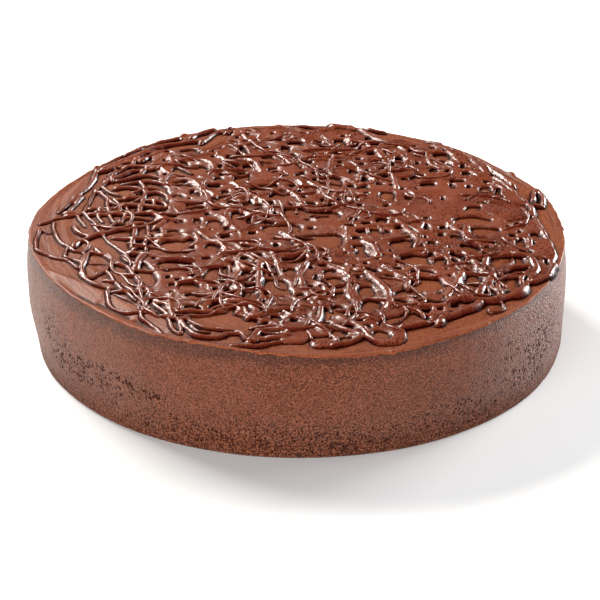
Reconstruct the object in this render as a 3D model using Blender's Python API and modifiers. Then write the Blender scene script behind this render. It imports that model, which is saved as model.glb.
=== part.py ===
"""Round chocolate mousse cake with a thin icing and a web of thick ganache on its top.

Metres, +Z up. The origin is the middle of the flat bottom, and the front of the cake
faces -Y. Azimuths are in degrees, anticlockwise from +X (the right-hand side).

The cake was set in a 9 inch ring: a low drum whose side swells a little at mid height.
Its top slopes down to the right and its outline is uneven. The icing is one layer
spread out to the rim, and the drizzle that lies on it has set as one with it.
"""

import math
import random

import bmesh
import bpy

# Driving dimensions
BASE_RADIUS = 0.1120          # foot of the side
BELLY_RADIUS = 0.1136         # widest level of the side
BELLY_HEIGHT = 0.030
RIM_RADIUS = 0.1122           # top edge of the icing
CAKE_HEIGHT = 0.0478          # bottom to icing, at the middle
SLOPE_RIGHT = -0.0118         # rise of the top for each metre towards +X
SLOPE_BACK = 0.0049           # rise of the top for each metre towards +Y

FOOT_ROUNDING = 0.0014        # soft edge where the side meets the bottom
FOOT_TURNS = (0, 45, 90)      # degrees round that edge at which its facets meet
ICING_THICKNESS = 0.0018
ICING_LIP = 0.0003            # how far the icing stands out over the side
ICING_ROUNDING = 0.0006
ICING_SHOULDER = 0.0018       # width of the raised edge left by the knife
EDGE_DROP = 0.0001            # that edge's fall before its rounding
GROOVE_WIDTH = 0.0015         # shallow knife groove inside the raised edge
GROOVE_DEPTH = 0.0002
LAYER_GAP = 0.0003            # clearance between the mousse and its icing

TURN_STEPS = 96               # facets round the cake
SIDE_LEVELS = 7               # bands of facets up the side
LEVEL_RADIUS = 0.1070         # inside this the icing's top is one flat face
HUB_RADIUS = 0.0001           # a turned face's middle point lies within this of the axis
WELD_DISTANCE = 0.00001       # points closer than this are one
SHARP_OVER_MOUSSE = 40        # edges over this angle, in degrees, are shaded sharp
SHARP_OVER_ICING = 50

# Places where the outline leaves the circle: azimuth, outwards, upwards, spread in degrees
SWELLS = (
    (179, 0.0027, 0.0000, 12),
    (145, -0.0024, 0.0000, 14),
    (222, -0.0010, 0.0004, 7),
    (253, -0.0014, 0.0007, 8),
    (287, 0.0012, -0.0005, 11),
    (350, -0.0005, 0.0000, 8),
    (19, 0.0010, 0.0000, 7),
    (37, -0.0012, 0.0000, 7),
    (63, -0.0010, 0.0000, 8),
    (88, -0.0010, 0.0000, 8),
)
SWELL_FOOT = 0.020            # under this height the swells die away to the round foot
DENT_DEPTH = 0.00025          # slow waves in the side, from the ring and the knife
# Each wave: number round the cake, lean in radians for each metre of height, phase
DENT_WAVES = ((5, 60.0, 0.0), (11, -95.0, 1.3))

# Ganache strands: thin on the left of the top, where the stream ran fast, thick on the right
STRAND_SEED = 41
STRAND_STEP = 0.0044          # distance between two points of a strand
STRAND_TURN = 120.0           # usual curvature of a strand, 1/m
STRAND_MEMORY = 0.009         # length over which the curvature changes
STRAND_SHARPEST = 260.0       # curvature is held under this, 1/m
STRAND_RADIUS_LEFT = 0.0014
STRAND_RADIUS_RIGHT = 0.0024
STRAND_FLATNESS = 0.75        # height of a strand over its half width
STRAND_ROOT = 0.30            # depth of a strand's hidden underside over its half width
STRAND_SINK = 0.0001          # how far a strand's widest line lies under the icing's face
STRAND_END = 0.55             # a strand's end over its usual half width
# Slow swellings along a strand: share of its half width, radians for each metre, phase
STRAND_SWELLINGS = ((0.16, 420.0, 0.0), (0.10, 185.0, 2.0))
THICKENING_START = -0.075     # the strands thicken to the right from this x
THICKENING_WIDTH = 0.120
SWEEP_COUNT = 9               # long strands that cross the top from back left to front right
SWEEP_LEAN = math.radians(-64)
SWEEP_SPREAD = 0.3            # usual error of a sweep's first heading, in radians
SWEEP_SHARE = 0.9             # length of a sweep over the straight way across the web
SWEEP_TURN = 62.0
SWEEP_PULL = 45.0             # how strongly a sweep keeps to its lean, 1/m
EDGE_RUNS = ((54, -76), (262, 186))   # strands along the web's edge, from and to azimuth
EDGE_INSET = 0.0035           # middle of such a strand inside the web's edge
EDGE_WOBBLE = 0.0022
# Waves of an edge strand: number round the cake, share of the wobble, phase
EDGE_WAVES = ((9.0, 1.0, 0.0), (17.0, 0.7, 1.0))
CURL_COUNT = 26               # shorter, more curled strands between them
CURL_LENGTH = 0.088
CURL_LEAN = 0.0
CURL_PULL = 25.0
DRAWS_PER_STRAND = 60         # of these the one that covers most bare icing is kept
BARE_CELL = 0.008             # size of the squares in which bare icing is counted
WEB_RADIUS = 0.1030           # the web of strands ends about here
WEB_START = 0.92              # strands start within this share of that radius
WEB_MARGIN = 0.018            # a strand turns back within this distance of the edge
WEB_OVERRUN = 0.0015          # a strand ends where it runs this far over the edge
TURN_BACK_ANGLE = 0.8         # a strand that heads within this of the middle needs no turn
TURN_BACK_SHARE = 0.6         # share of the sharpest curvature used to turn back
TURN_BACK_MOST = 1.5
WEB_BARE_AZIMUTH = 228        # middle of the stretch of the rim that stayed bare
WEB_BARE_DEPTH = 0.009
WEB_BARE_SPREAD = 24

# Colours as linear values
MOUSSE_COLOUR = (0.195, 0.073, 0.045, 1.0)
MOUSSE_ROUGHNESS = 0.75
ICING_COLOUR = (0.168, 0.052, 0.030, 1.0)
ICING_ROUGHNESS = 0.35


def clear_scene():
    for thing in list(bpy.data.objects):
        bpy.data.objects.remove(thing, do_unlink=True)


def new_collection(name):
    collection = bpy.data.collections.new(name)
    bpy.context.scene.collection.children.link(collection)
    return collection


def plain_material(name, colour, roughness):
    material = bpy.data.materials.new(name)
    material.use_nodes = True
    shader = material.node_tree.nodes["Principled BSDF"]
    shader.inputs["Base Color"].default_value = colour
    shader.inputs["Roughness"].default_value = roughness
    shader.inputs["Metallic"].default_value = 0.0
    return material


def evaluated_mesh(thing):
    """The mesh of an object or curve as its modifiers leave it."""
    graph = bpy.context.evaluated_depsgraph_get()
    return bpy.data.meshes.new_from_object(thing.evaluated_get(graph))


# The cake's uneven form

def smooth_ramp(value):
    value = min(1.0, max(0.0, value))
    return value * value * (3.0 - 2.0 * value)


def side_radius(height):
    """Radius of the round cake at a height above its bottom."""
    if height < BELLY_HEIGHT:
        away = (BELLY_HEIGHT - height) / BELLY_HEIGHT
        return BELLY_RADIUS - (BELLY_RADIUS - BASE_RADIUS) * away ** 2
    away = (height - BELLY_HEIGHT) / (CAKE_HEIGHT - BELLY_HEIGHT)
    return BELLY_RADIUS - (BELLY_RADIUS - RIM_RADIUS) * away ** 2


def swell_at(azimuth):
    """Outward and upward shift of the rim at an azimuth in degrees."""
    outward = 0.0
    upward = 0.0
    for middle, out, up, spread in SWELLS:
        off = (azimuth - middle + 180.0) % 360.0 - 180.0
        weight = math.exp(-0.5 * (off / spread) ** 2)
        outward += out * weight
        upward += up * weight
    return outward, upward


def dent_at(azimuth, height):
    """Slow waves of the side."""
    turn = math.radians(azimuth)
    waves = sum(math.sin(number * turn + lean * height + phase) for number, lean, phase in DENT_WAVES)
    return DENT_DEPTH * waves / len(DENT_WAVES)


def top_slope(x, y):
    return SLOPE_RIGHT * x + SLOPE_BACK * y


def uneven_point(point):
    """Where a point of the plain turned cake lies in the real, uneven one."""
    x, y, z = point
    radius = math.hypot(x, y)
    azimuth = math.degrees(math.atan2(y, x))
    outward, upward = swell_at(azimuth)
    level = z / CAKE_HEIGHT
    near_edge = smooth_ramp((radius - LEVEL_RADIUS) / (RIM_RADIUS - LEVEL_RADIUS))
    shift = near_edge * (outward * smooth_ramp(z / SWELL_FOOT) + dent_at(azimuth, z))
    stretch = 1.0 + shift / max(radius, LEVEL_RADIUS)
    lift = level * (top_slope(x, y) + near_edge * upward)
    return (x * stretch, y * stretch, z + lift)


def turned_solid(name, profile, material, collection):
    """Closed solid turned from a profile of (radius, height) points, top to bottom."""
    mesh = bpy.data.meshes.new(name)
    edges = [(index, index + 1) for index in range(len(profile) - 1)]
    mesh.from_pydata([(radius, 0.0, height) for radius, height in profile], edges, [])
    solid = bpy.data.objects.new(name, mesh)
    collection.objects.link(solid)
    screw = solid.modifiers.new("turn", "SCREW")
    screw.steps = TURN_STEPS
    screw.render_steps = TURN_STEPS
    screw.use_merge_vertices = True
    screw.merge_threshold = WELD_DISTANCE
    turned = evaluated_mesh(solid)
    solid.modifiers.clear()
    solid.data = turned
    bpy.data.meshes.remove(mesh)
    turned.name = name
    turned.materials.clear()
    turned.materials.append(material)
    for vertex in turned.vertices:
        vertex.co = uneven_point(vertex.co)
    return solid


def join_flat_middles(solid):
    """Makes one face each of the top's and the bottom's flat middle."""
    cage = bmesh.new()
    cage.from_mesh(solid.data)
    hubs = [vertex for vertex in cage.verts if math.hypot(*vertex.co.xy) < HUB_RADIUS]
    bmesh.ops.dissolve_verts(cage, verts=hubs)
    cage.to_mesh(solid.data)
    cage.free()


def mousse_profile():
    """The drum of mousse: flat top, swelling side, rounded foot, flat bottom."""
    top = CAKE_HEIGHT - ICING_THICKNESS - LAYER_GAP
    points = [(0.0, top), (side_radius(top), top)]
    for step in range(1, SIDE_LEVELS):
        height = top + (FOOT_ROUNDING - top) * step / SIDE_LEVELS
        points.append((side_radius(height), height))
    middle = side_radius(FOOT_ROUNDING) - FOOT_ROUNDING
    for turn in FOOT_TURNS:
        angle = math.radians(turn)
        points.append((
            middle + FOOT_ROUNDING * math.cos(angle),
            FOOT_ROUNDING - FOOT_ROUNDING * math.sin(angle),
        ))
    points.append((0.0, 0.0))
    return points


def icing_profile():
    """The icing: flat middle, a shallow knife groove, a raised and rounded edge."""
    top = CAKE_HEIGHT
    edge = RIM_RADIUS + ICING_LIP
    return [
        (0.0, top),
        (LEVEL_RADIUS, top),
        (LEVEL_RADIUS + GROOVE_WIDTH, top - GROOVE_DEPTH),
        (edge - ICING_SHOULDER, top),
        (edge - ICING_ROUNDING, top - EDGE_DROP),
        (edge, top - ICING_ROUNDING),
        (edge, top - ICING_THICKNESS + ICING_ROUNDING),
        (edge - ICING_ROUNDING, top - ICING_THICKNESS),
        (0.0, top - ICING_THICKNESS),
    ]


# The ganache web

def web_reach(azimuth):
    """Radius of the web's edge: the front left of the top stayed bare."""
    off = (azimuth - WEB_BARE_AZIMUTH + 180.0) % 360.0 - 180.0
    return WEB_RADIUS - WEB_BARE_DEPTH * math.exp(-0.5 * (off / WEB_BARE_SPREAD) ** 2)


def angle_between(first, second):
    return (first - second + math.pi) % (2.0 * math.pi) - math.pi


def wandering_path(draw, start, heading, length, turn, lean, pull):
    """A strand's path: its curvature drifts at random, it leans towards one direction,
    and it turns back at the edge of the web."""
    x, y = start
    path = [(x, y)]
    curl = 0.0
    kick = turn * math.sqrt(2.0 * STRAND_STEP / STRAND_MEMORY)
    for _ in range(round(length / STRAND_STEP)):
        curl += draw.gauss(0.0, 1.0) * kick - curl * STRAND_STEP / STRAND_MEMORY
        bend = curl + pull * math.sin(2.0 * (lean - heading))
        past_edge = math.hypot(x, y) - web_reach(math.degrees(math.atan2(y, x)))
        if past_edge > WEB_OVERRUN:
            break
        over = past_edge / WEB_MARGIN + 1.0
        inward = angle_between(math.atan2(-y, -x), heading)
        if over > 0.0 and abs(inward) > TURN_BACK_ANGLE:
            turn_back = min(over, TURN_BACK_MOST) * TURN_BACK_SHARE * STRAND_SHARPEST
            bend += math.copysign(turn_back, inward)
        bend = max(-STRAND_SHARPEST, min(STRAND_SHARPEST, bend))
        heading += bend * STRAND_STEP
        x += math.cos(heading) * STRAND_STEP
        y += math.sin(heading) * STRAND_STEP
        path.append((x, y))
    return path


def cells_of(path):
    return {(math.floor(x / BARE_CELL), math.floor(y / BARE_CELL)) for x, y in path}


def freshest(paths, covered):
    """The path that crosses most squares of bare icing."""
    best = max(paths, key=lambda path: len(cells_of(path) - covered))
    covered |= cells_of(best)
    return best


def sweep_start(index):
    """Start of a long strand, at the back left edge of the web."""
    across = (2.0 * (index + 0.5) / SWEEP_COUNT - 1.0) * WEB_START * WEB_RADIUS
    half = WEB_START * math.sqrt(WEB_RADIUS ** 2 - across ** 2)
    x = -math.sin(SWEEP_LEAN) * across - math.cos(SWEEP_LEAN) * half
    y = math.cos(SWEEP_LEAN) * across - math.sin(SWEEP_LEAN) * half
    return (x, y), 2.0 * half


def sweep_path(draw, index):
    start, length = sweep_start(index)
    heading = SWEEP_LEAN + draw.gauss(0.0, SWEEP_SPREAD)
    length *= SWEEP_SHARE
    return wandering_path(draw, start, heading, length, SWEEP_TURN, SWEEP_LEAN, SWEEP_PULL)


def edge_path(start, end):
    """A strand that follows the web's edge from one azimuth to another."""
    sweep = math.radians(abs(end - start))
    count = round(sweep * WEB_RADIUS / STRAND_STEP)
    path = []
    for index in range(count + 1):
        azimuth = start + (end - start) * index / count
        turn = math.radians(azimuth)
        wobble = sum(
            share * math.sin(number * turn + phase) for number, share, phase in EDGE_WAVES
        )
        radius = web_reach(azimuth) - EDGE_INSET + EDGE_WOBBLE * wobble
        path.append((radius * math.cos(turn), radius * math.sin(turn)))
    return path


def curl_path(draw):
    radius = WEB_START * WEB_RADIUS * math.sqrt(draw.random())
    azimuth = draw.uniform(0.0, 2.0 * math.pi)
    start = (radius * math.cos(azimuth), radius * math.sin(azimuth))
    heading = draw.uniform(0.0, 2.0 * math.pi)
    return wandering_path(
        draw, start, heading, CURL_LENGTH, STRAND_TURN, CURL_LEAN, CURL_PULL
    )


def strand_paths():
    """All strands that are thick enough to stand out as solid ridges."""
    draw = random.Random(STRAND_SEED)
    paths = [edge_path(start, end) for start, end in EDGE_RUNS]
    covered = set().union(*(cells_of(path) for path in paths))
    for index in range(SWEEP_COUNT):
        paths.append(freshest([sweep_path(draw, index) for _ in range(DRAWS_PER_STRAND)], covered))
    for _ in range(CURL_COUNT):
        paths.append(freshest([curl_path(draw) for _ in range(DRAWS_PER_STRAND)], covered))
    return paths


def strand_radius(x, along):
    """Half width of a strand: thicker to the right, with slow swellings, thin at its ends."""
    right = smooth_ramp((x - THICKENING_START) / THICKENING_WIDTH)
    radius = STRAND_RADIUS_LEFT + (STRAND_RADIUS_RIGHT - STRAND_RADIUS_LEFT) * right
    swelling = sum(
        share * math.sin(rate * along + phase) for share, rate, phase in STRAND_SWELLINGS
    )
    return radius * (1.0 + swelling)


def strand_object(name, path, collection):
    """A strand as a tube with six sides, as a closed mesh."""
    curve = bpy.data.curves.new(name, "CURVE")
    curve.dimensions = "3D"
    curve.twist_mode = "Z_UP"
    curve.bevel_mode = "ROUND"
    curve.bevel_depth = 1.0
    curve.bevel_resolution = 1
    curve.use_fill_caps = True
    spline = curve.splines.new("POLY")
    spline.points.add(len(path) - 1)
    for index, (x, y) in enumerate(path):
        radius = strand_radius(x, index * STRAND_STEP)
        if index in (0, len(path) - 1):
            radius *= STRAND_END
        spline.points[index].co = (x, y, 0.0, 1.0)
        spline.points[index].radius = radius
    tube = bpy.data.objects.new(name, curve)
    collection.objects.link(tube)
    mesh = evaluated_mesh(tube)
    bpy.data.objects.remove(tube)
    bpy.data.curves.remove(curve)
    cage = bmesh.new()
    cage.from_mesh(mesh)
    bmesh.ops.remove_doubles(cage, verts=cage.verts, dist=WELD_DISTANCE)
    for vertex in cage.verts:
        ground = CAKE_HEIGHT + top_slope(vertex.co.x, vertex.co.y) - STRAND_SINK
        flattening = STRAND_FLATNESS if vertex.co.z > 0.0 else STRAND_ROOT
        vertex.co.z = ground + flattening * vertex.co.z
    bmesh.ops.recalc_face_normals(cage, faces=cage.faces)
    cage.to_mesh(mesh)
    cage.free()
    strand = bpy.data.objects.new(name, mesh)
    strand.hide_render = True
    strand.display_type = "WIRE"
    collection.objects.link(strand)
    return strand


def shells_of(cage):
    """The connected shells of a mesh, as sets of faces."""
    left = set(cage.faces)
    shells = []
    while left:
        grow = [left.pop()]
        shell = set(grow)
        while grow:
            face = grow.pop()
            for edge in face.edges:
                for other in edge.link_faces:
                    if other in left:
                        left.remove(other)
                        shell.add(other)
                        grow.append(other)
        shells.append(shell)
    return shells


def keep_largest_shell(solid):
    """Drops loose scraps, and fills hollows that the fusing sealed."""
    cage = bmesh.new()
    cage.from_mesh(solid.data)
    shells = sorted(shells_of(cage), key=len)
    for shell in shells[:-1]:
        bmesh.ops.delete(cage, geom=list(shell), context="FACES")
    loose = [vertex for vertex in cage.verts if not vertex.link_faces]
    bmesh.ops.delete(cage, geom=loose, context="VERTS")
    cage.to_mesh(solid.data)
    cage.free()


def fuse_strands(icing):
    """Joins every strand to the icing by one union, and clears them away."""
    strands = new_collection("drizzle_strands")
    for index, path in enumerate(strand_paths()):
        strand_object(f"strand_{index:02d}", path, strands)
    union = icing.modifiers.new("fuse", "BOOLEAN")
    union.operation = "UNION"
    union.operand_type = "COLLECTION"
    union.collection = strands
    union.solver = "EXACT"
    union.use_self = True
    fused = evaluated_mesh(icing)
    icing.modifiers.clear()
    icing.data = fused
    for strand in list(strands.objects):
        bpy.data.objects.remove(strand, do_unlink=True)
    bpy.data.collections.remove(strands)
    keep_largest_shell(icing)


def shade_round(solid, sharp_over):
    solid.data.shade_smooth()
    solid.data.set_sharp_from_angle(angle=math.radians(sharp_over))


clear_scene()
cake = new_collection("chocolate_mousse_cake")
mousse_brown = plain_material("mousse_brown", MOUSSE_COLOUR, MOUSSE_ROUGHNESS)
icing_brown = plain_material("icing_brown", ICING_COLOUR, ICING_ROUGHNESS)

mousse_base = turned_solid("mousse_base", mousse_profile(), mousse_brown, cake)
join_flat_middles(mousse_base)
shade_round(mousse_base, SHARP_OVER_MOUSSE)

top_icing = turned_solid("top_icing", icing_profile(), icing_brown, cake)
join_flat_middles(top_icing)
fuse_strands(top_icing)
shade_round(top_icing, SHARP_OVER_ICING)
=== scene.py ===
import math
import random

import bmesh
import bpy
import numpy as np
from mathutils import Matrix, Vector, noise


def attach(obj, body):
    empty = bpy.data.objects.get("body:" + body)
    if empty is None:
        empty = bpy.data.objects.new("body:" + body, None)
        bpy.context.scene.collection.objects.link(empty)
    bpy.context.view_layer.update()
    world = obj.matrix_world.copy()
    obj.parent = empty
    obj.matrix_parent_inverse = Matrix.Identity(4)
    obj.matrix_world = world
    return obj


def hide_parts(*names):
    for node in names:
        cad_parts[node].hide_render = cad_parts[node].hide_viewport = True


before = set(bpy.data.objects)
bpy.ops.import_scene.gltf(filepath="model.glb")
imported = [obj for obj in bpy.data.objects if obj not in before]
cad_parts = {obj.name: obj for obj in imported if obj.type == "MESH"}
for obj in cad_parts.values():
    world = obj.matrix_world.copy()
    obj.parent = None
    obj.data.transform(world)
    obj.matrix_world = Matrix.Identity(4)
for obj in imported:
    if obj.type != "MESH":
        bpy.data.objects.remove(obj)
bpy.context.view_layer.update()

# ----------------------------------------------------------------------------------------
# The drum of mousse.
# One drum of set chocolate mousse, turned out of a 9 inch ring. It swells a little at mid
# height, stands a little higher on the left, and its cut bubbles show as pits in the side.
# ----------------------------------------------------------------------------------------

# lengths are metres; azimuths are degrees, anticlockwise from the right
FOOT_RADIUS = 0.1120
BELLY_RADIUS = 0.1136         # widest level of the side
BELLY_HEIGHT = 0.030
RIM_RADIUS = 0.1122           # top edge of the side
CAKE_HEIGHT = 0.0478          # to the top of the icing, at the middle
SLOPE_RIGHT = -0.0118         # rise of the top for each metre to the right
SLOPE_BACK = 0.0049           # and to the back
LEVEL_RADIUS = 0.1070         # inside this the top has that slope only
FOOT_ROUNDING = 0.0014
FOOT_TURNS = (22.5, 45.0, 67.5, 90.0)    # degrees round it at which its rings lie
ICING_EDGE = 0.0008           # thickness of the icing where it shows over the side

# places where the outline leaves the circle: azimuth, outwards, upwards, spread in degrees
RIM_SWELLS = (
    (179, 0.0027, 0.0000, 12),
    (145, -0.0024, 0.0000, 14),
    (222, -0.0010, 0.0004, 7),
    (253, -0.0014, 0.0007, 8),
    (287, 0.0012, -0.0005, 11),
    (350, -0.0005, 0.0000, 8),
    (19, 0.0010, 0.0000, 7),
    (37, -0.0012, 0.0000, 7),
    (63, -0.0010, 0.0000, 8),
    (88, -0.0010, 0.0000, 8),
)
SWELL_FOOT = 0.020            # under this height they die away to the round foot
# slow waves in the side: number round the cake, lean for each metre of height, phase
SIDE_WAVES = ((5, 60.0, 0.0), (11, -95.0, 1.3))
SIDE_WAVE_DEPTH = 0.000125

NOISE_FALL = 0.9              # how fast the finer octaves of fractal noise weaken
NOISE_STEP = 2.0              # and how much finer each is than the one before
SHARP_EDGE = math.radians(55)

DRUM_STEPS = 1150             # points round the drum
DRUM_LEVELS = 82              # and up its side
LUMP_SIZE = 0.016
LUMP_DEPTH = 0.00022
GRAIN_SIZE = 0.0016
GRAIN_DEPTH = 0.00010
RELIEF_OCTAVES = 2

PIT_SEED = 7
PIT_COUNT = 2600              # pits that are tried; most fall where there are no bubbles
PIT_RADII = (0.0004, 0.0009)
PIT_RARITY = 3                # the higher, the rarer the large ones
PIT_LENGTHS = (1.0, 1.9)      # how much longer round the cake than high
PIT_DEPTH = 0.00060
STRAY_PITS = 0.04             # share of the pits that open anywhere
FOOT_BUBBLES = 0.25           # how close the bubbles lie at the very foot
FOOT_BUBBLE_HEIGHT = 0.012
SMOOTH_BAND = 0.0060          # width over which the bubbles thin out under the icing
SMOOTH_START = 0.35           # share of that width that has none at all
# places where the bubbles lie close: azimuth, height, spread round, spread up, how close
BUBBLY_PLACES = (
    (206, 0.0250, 5.0, 0.0065, 0.8),
    (211, 0.0185, 5.0, 0.0060, 1.1),
    (218, 0.0185, 5.0, 0.0048, 1.4),
    (225, 0.0190, 5.0, 0.0040, 1.4),
    (231, 0.0207, 4.0, 0.0034, 1.2),
    (237, 0.0205, 3.5, 0.0027, 1.0),
    (246, 0.0080, 18.0, 0.0060, 0.6),
    (275, 0.0070, 22.0, 0.0080, 0.7),
    (305, 0.0090, 14.0, 0.0100, 0.7),
    (330, 0.0200, 14.0, 0.0140, 0.8),
    (60, 0.0200, 30.0, 0.0120, 0.6),
    (130, 0.0160, 30.0, 0.0110, 0.7),
)


def smooth_ramp(value):
    """0 up to 0, 1 from 1, and a smooth rise between."""
    value = np.clip(value, 0.0, 1.0)
    return value * value * (3.0 - 2.0 * value)


def degrees_off(azimuth, middle):
    """How far an azimuth lies round from another, from -180 to 180."""
    return (azimuth - middle + 180.0) % 360.0 - 180.0


def side_radius(height):
    """Radius of the plain round side, which is widest at the belly."""
    low = np.clip((BELLY_HEIGHT - height) / BELLY_HEIGHT, 0.0, 1.0)
    high = np.clip((height - BELLY_HEIGHT) / (CAKE_HEIGHT - BELLY_HEIGHT), 0.0, 1.0)
    return (
        BELLY_RADIUS
        - (BELLY_RADIUS - FOOT_RADIUS) * low ** 2
        - (BELLY_RADIUS - RIM_RADIUS) * high ** 2
    )


def swell_at(azimuth):
    """How far the rim stands out and up at an azimuth."""
    outward = np.zeros_like(azimuth)
    upward = np.zeros_like(azimuth)
    for middle, out, up, spread in RIM_SWELLS:
        weight = np.exp(-0.5 * (degrees_off(azimuth, middle) / spread) ** 2)
        outward += out * weight
        upward += up * weight
    return outward, upward


def near_rim(radius):
    """0 over the level part of the top, 1 at the rim."""
    return smooth_ramp((radius - LEVEL_RADIUS) / (RIM_RADIUS - LEVEL_RADIUS))


def slope_at(x, y):
    """How much higher the sloping top lies than at its middle."""
    return SLOPE_RIGHT * x + SLOPE_BACK * y


def uneven(points):
    """Moves points of a plain round cake to where they lie in this uneven one."""
    x, y, z = points[..., 0], points[..., 1], points[..., 2]
    radius = np.hypot(x, y)
    azimuth = np.degrees(np.arctan2(y, x))
    turn = np.radians(azimuth)
    outward, upward = swell_at(azimuth)
    wave = sum(np.sin(number * turn + lean * z + phase) for number, lean, phase in SIDE_WAVES)
    swell = outward * smooth_ramp(z / SWELL_FOOT) + SIDE_WAVE_DEPTH * wave
    stretch = 1.0 + near_rim(radius) * swell / np.maximum(radius, LEVEL_RADIUS)
    lift = z / CAKE_HEIGHT * (slope_at(x, y) + near_rim(radius) * upward)
    return np.stack([x * stretch, y * stretch, z + lift], axis=-1)


def around(radius, turn, height):
    """Points round the cake's axis; radius and height may vary."""
    places = (radius * np.cos(turn), radius * np.sin(turn), height)
    return np.stack(np.broadcast_arrays(*places), axis=-1)


def noise_at(points, size, octaves, start=0.0):
    """Fractal noise, about -1 to 1, at each of an array of points."""
    flat = points.reshape(-1, 3) / size + start
    values = [noise.fractal(Vector(point), NOISE_FALL, NOISE_STEP, octaves) for point in flat]
    return np.array(values).reshape(points.shape[:-1])


def put_in_scene(name, data):
    """A new object with this mesh, light or camera."""
    thing = bpy.data.objects.new(name, data)
    bpy.context.scene.collection.objects.link(thing)
    return thing


def smooth_piece(name, points, faces):
    """A smoothly shaded piece from lists of points and faces."""
    mesh = bpy.data.meshes.new(name)
    mesh.from_pydata(points, [], faces)
    mesh.shade_smooth()
    return put_in_scene(name, mesh)


def closed_rings(name, rings):
    """A closed piece from rings of points, top ring first, with a flat face on each end."""
    levels, steps = rings.shape[:2]
    faces = []
    for level in range(levels - 1):
        low = level * steps
        for step in range(steps):
            after = (step + 1) % steps
            faces.append((low + step, low + steps + step, low + steps + after, low + after))
    faces.append(tuple(range(steps)))
    last = (levels - 1) * steps
    faces.append(tuple(range(last + steps - 1, last - 1, -1)))
    piece = smooth_piece(name, rings.reshape(-1, 3).tolist(), faces)
    piece.data.set_sharp_from_angle(angle=SHARP_EDGE)
    return piece


def bubbliness(azimuth, height):
    """How close the bubbles lie at a place on the side: about 1 where they crowd."""
    close = FOOT_BUBBLES * smooth_ramp(1.0 - height / FOOT_BUBBLE_HEIGHT)
    for middle, level, spread_round, spread_up, share in BUBBLY_PLACES:
        off = degrees_off(azimuth, middle) / spread_round
        rise = (height - level) / spread_up
        close = np.maximum(close, share * np.exp(-0.5 * (off ** 2 + rise ** 2)))
    return close * smooth_ramp((CAKE_HEIGHT - height) / SMOOTH_BAND - SMOOTH_START)


def press_pit(depth, heights, azimuth, height, radius, length):
    """Presses one pit into the side, whose depths are in rows at the given heights."""
    steps = depth.shape[1]
    arc = 2.0 * math.pi * BELLY_RADIUS / steps
    place = math.radians(azimuth) * BELLY_RADIUS
    rows = np.flatnonzero(np.abs(heights - height) < radius)
    first = math.ceil((place - length) / arc)
    columns = np.arange(first, math.floor((place + length) / arc) + 1)
    across = (columns * arc - place) / length
    up = (heights[rows] - height) / radius
    bowl = np.clip(1.0 - across[None, :] ** 2 - up[:, None] ** 2, 0.0, 1.0)
    where = np.ix_(rows, columns % steps)
    depth[where] = np.maximum(depth[where], PIT_DEPTH * radius / PIT_RADII[1] * bowl)


def pressed_pits(heights):
    """Depths of the larger pits in the drum's side: small dents, longer round the cake."""
    draw = np.random.default_rng(PIT_SEED)
    depth = np.zeros((len(heights), DRUM_STEPS))
    for _ in range(PIT_COUNT):
        azimuth = draw.uniform(0.0, 360.0)
        height = draw.uniform(0.0, CAKE_HEIGHT)
        chance = STRAY_PITS + (1.0 - STRAY_PITS) * bubbliness(azimuth, height)
        if draw.random() <= chance:
            radius = PIT_RADII[0] + (PIT_RADII[1] - PIT_RADII[0]) * draw.random() ** PIT_RARITY
            length = radius * draw.uniform(*PIT_LENGTHS)
            press_pit(depth, heights, azimuth, height, radius, length)
    return depth


def mousse_drum():
    """The drum, from under the icing's edge down its side to the middle of its foot."""
    heights = np.linspace(CAKE_HEIGHT - ICING_EDGE, FOOT_ROUNDING, DRUM_LEVELS)
    turn = np.linspace(0.0, 2.0 * math.pi, DRUM_STEPS, endpoint=False)
    side = around(side_radius(heights)[:, None], turn, heights[:, None])
    relief = LUMP_DEPTH * noise_at(side, LUMP_SIZE, RELIEF_OCTAVES)
    relief += GRAIN_DEPTH * noise_at(side, GRAIN_SIZE, RELIEF_OCTAVES)
    relief -= pressed_pits(heights)
    relief[0] = 0.0
    side = side + relief[..., None] * around(1.0, turn, 0.0)
    inner = side_radius(FOOT_ROUNDING) - FOOT_ROUNDING
    foot = []
    for degrees in FOOT_TURNS:
        angle = math.radians(degrees)
        radius = inner + FOOT_ROUNDING * math.cos(angle)
        height = FOOT_ROUNDING * (1.0 - math.sin(angle))
        foot.append(around(radius + relief[-1] * math.cos(angle), turn, height))
    return closed_rings("mousse_drum", uneven(np.concatenate([side, np.array(foot)])))


def places_of(piece):
    """The points of a piece's mesh, one in a row."""
    places = np.empty(3 * len(piece.data.vertices))
    piece.data.vertices.foreach_get("co", places)
    return places.reshape(-1, 3)


def paint(piece, name, values):
    """Writes a value into each point of a piece, for its material."""
    layer = piece.data.attributes.new(name, "FLOAT", "POINT")
    layer.data.foreach_set("value", values.astype(np.float32))


def paint_bubbliness(piece):
    """Writes into each point of the drum how close the bubbles lie there."""
    places = places_of(piece)
    azimuth = np.degrees(np.arctan2(places[:, 1], places[:, 0])) % 360.0
    paint(piece, "bubbliness", bubbliness(azimuth, places[:, 2]))


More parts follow.
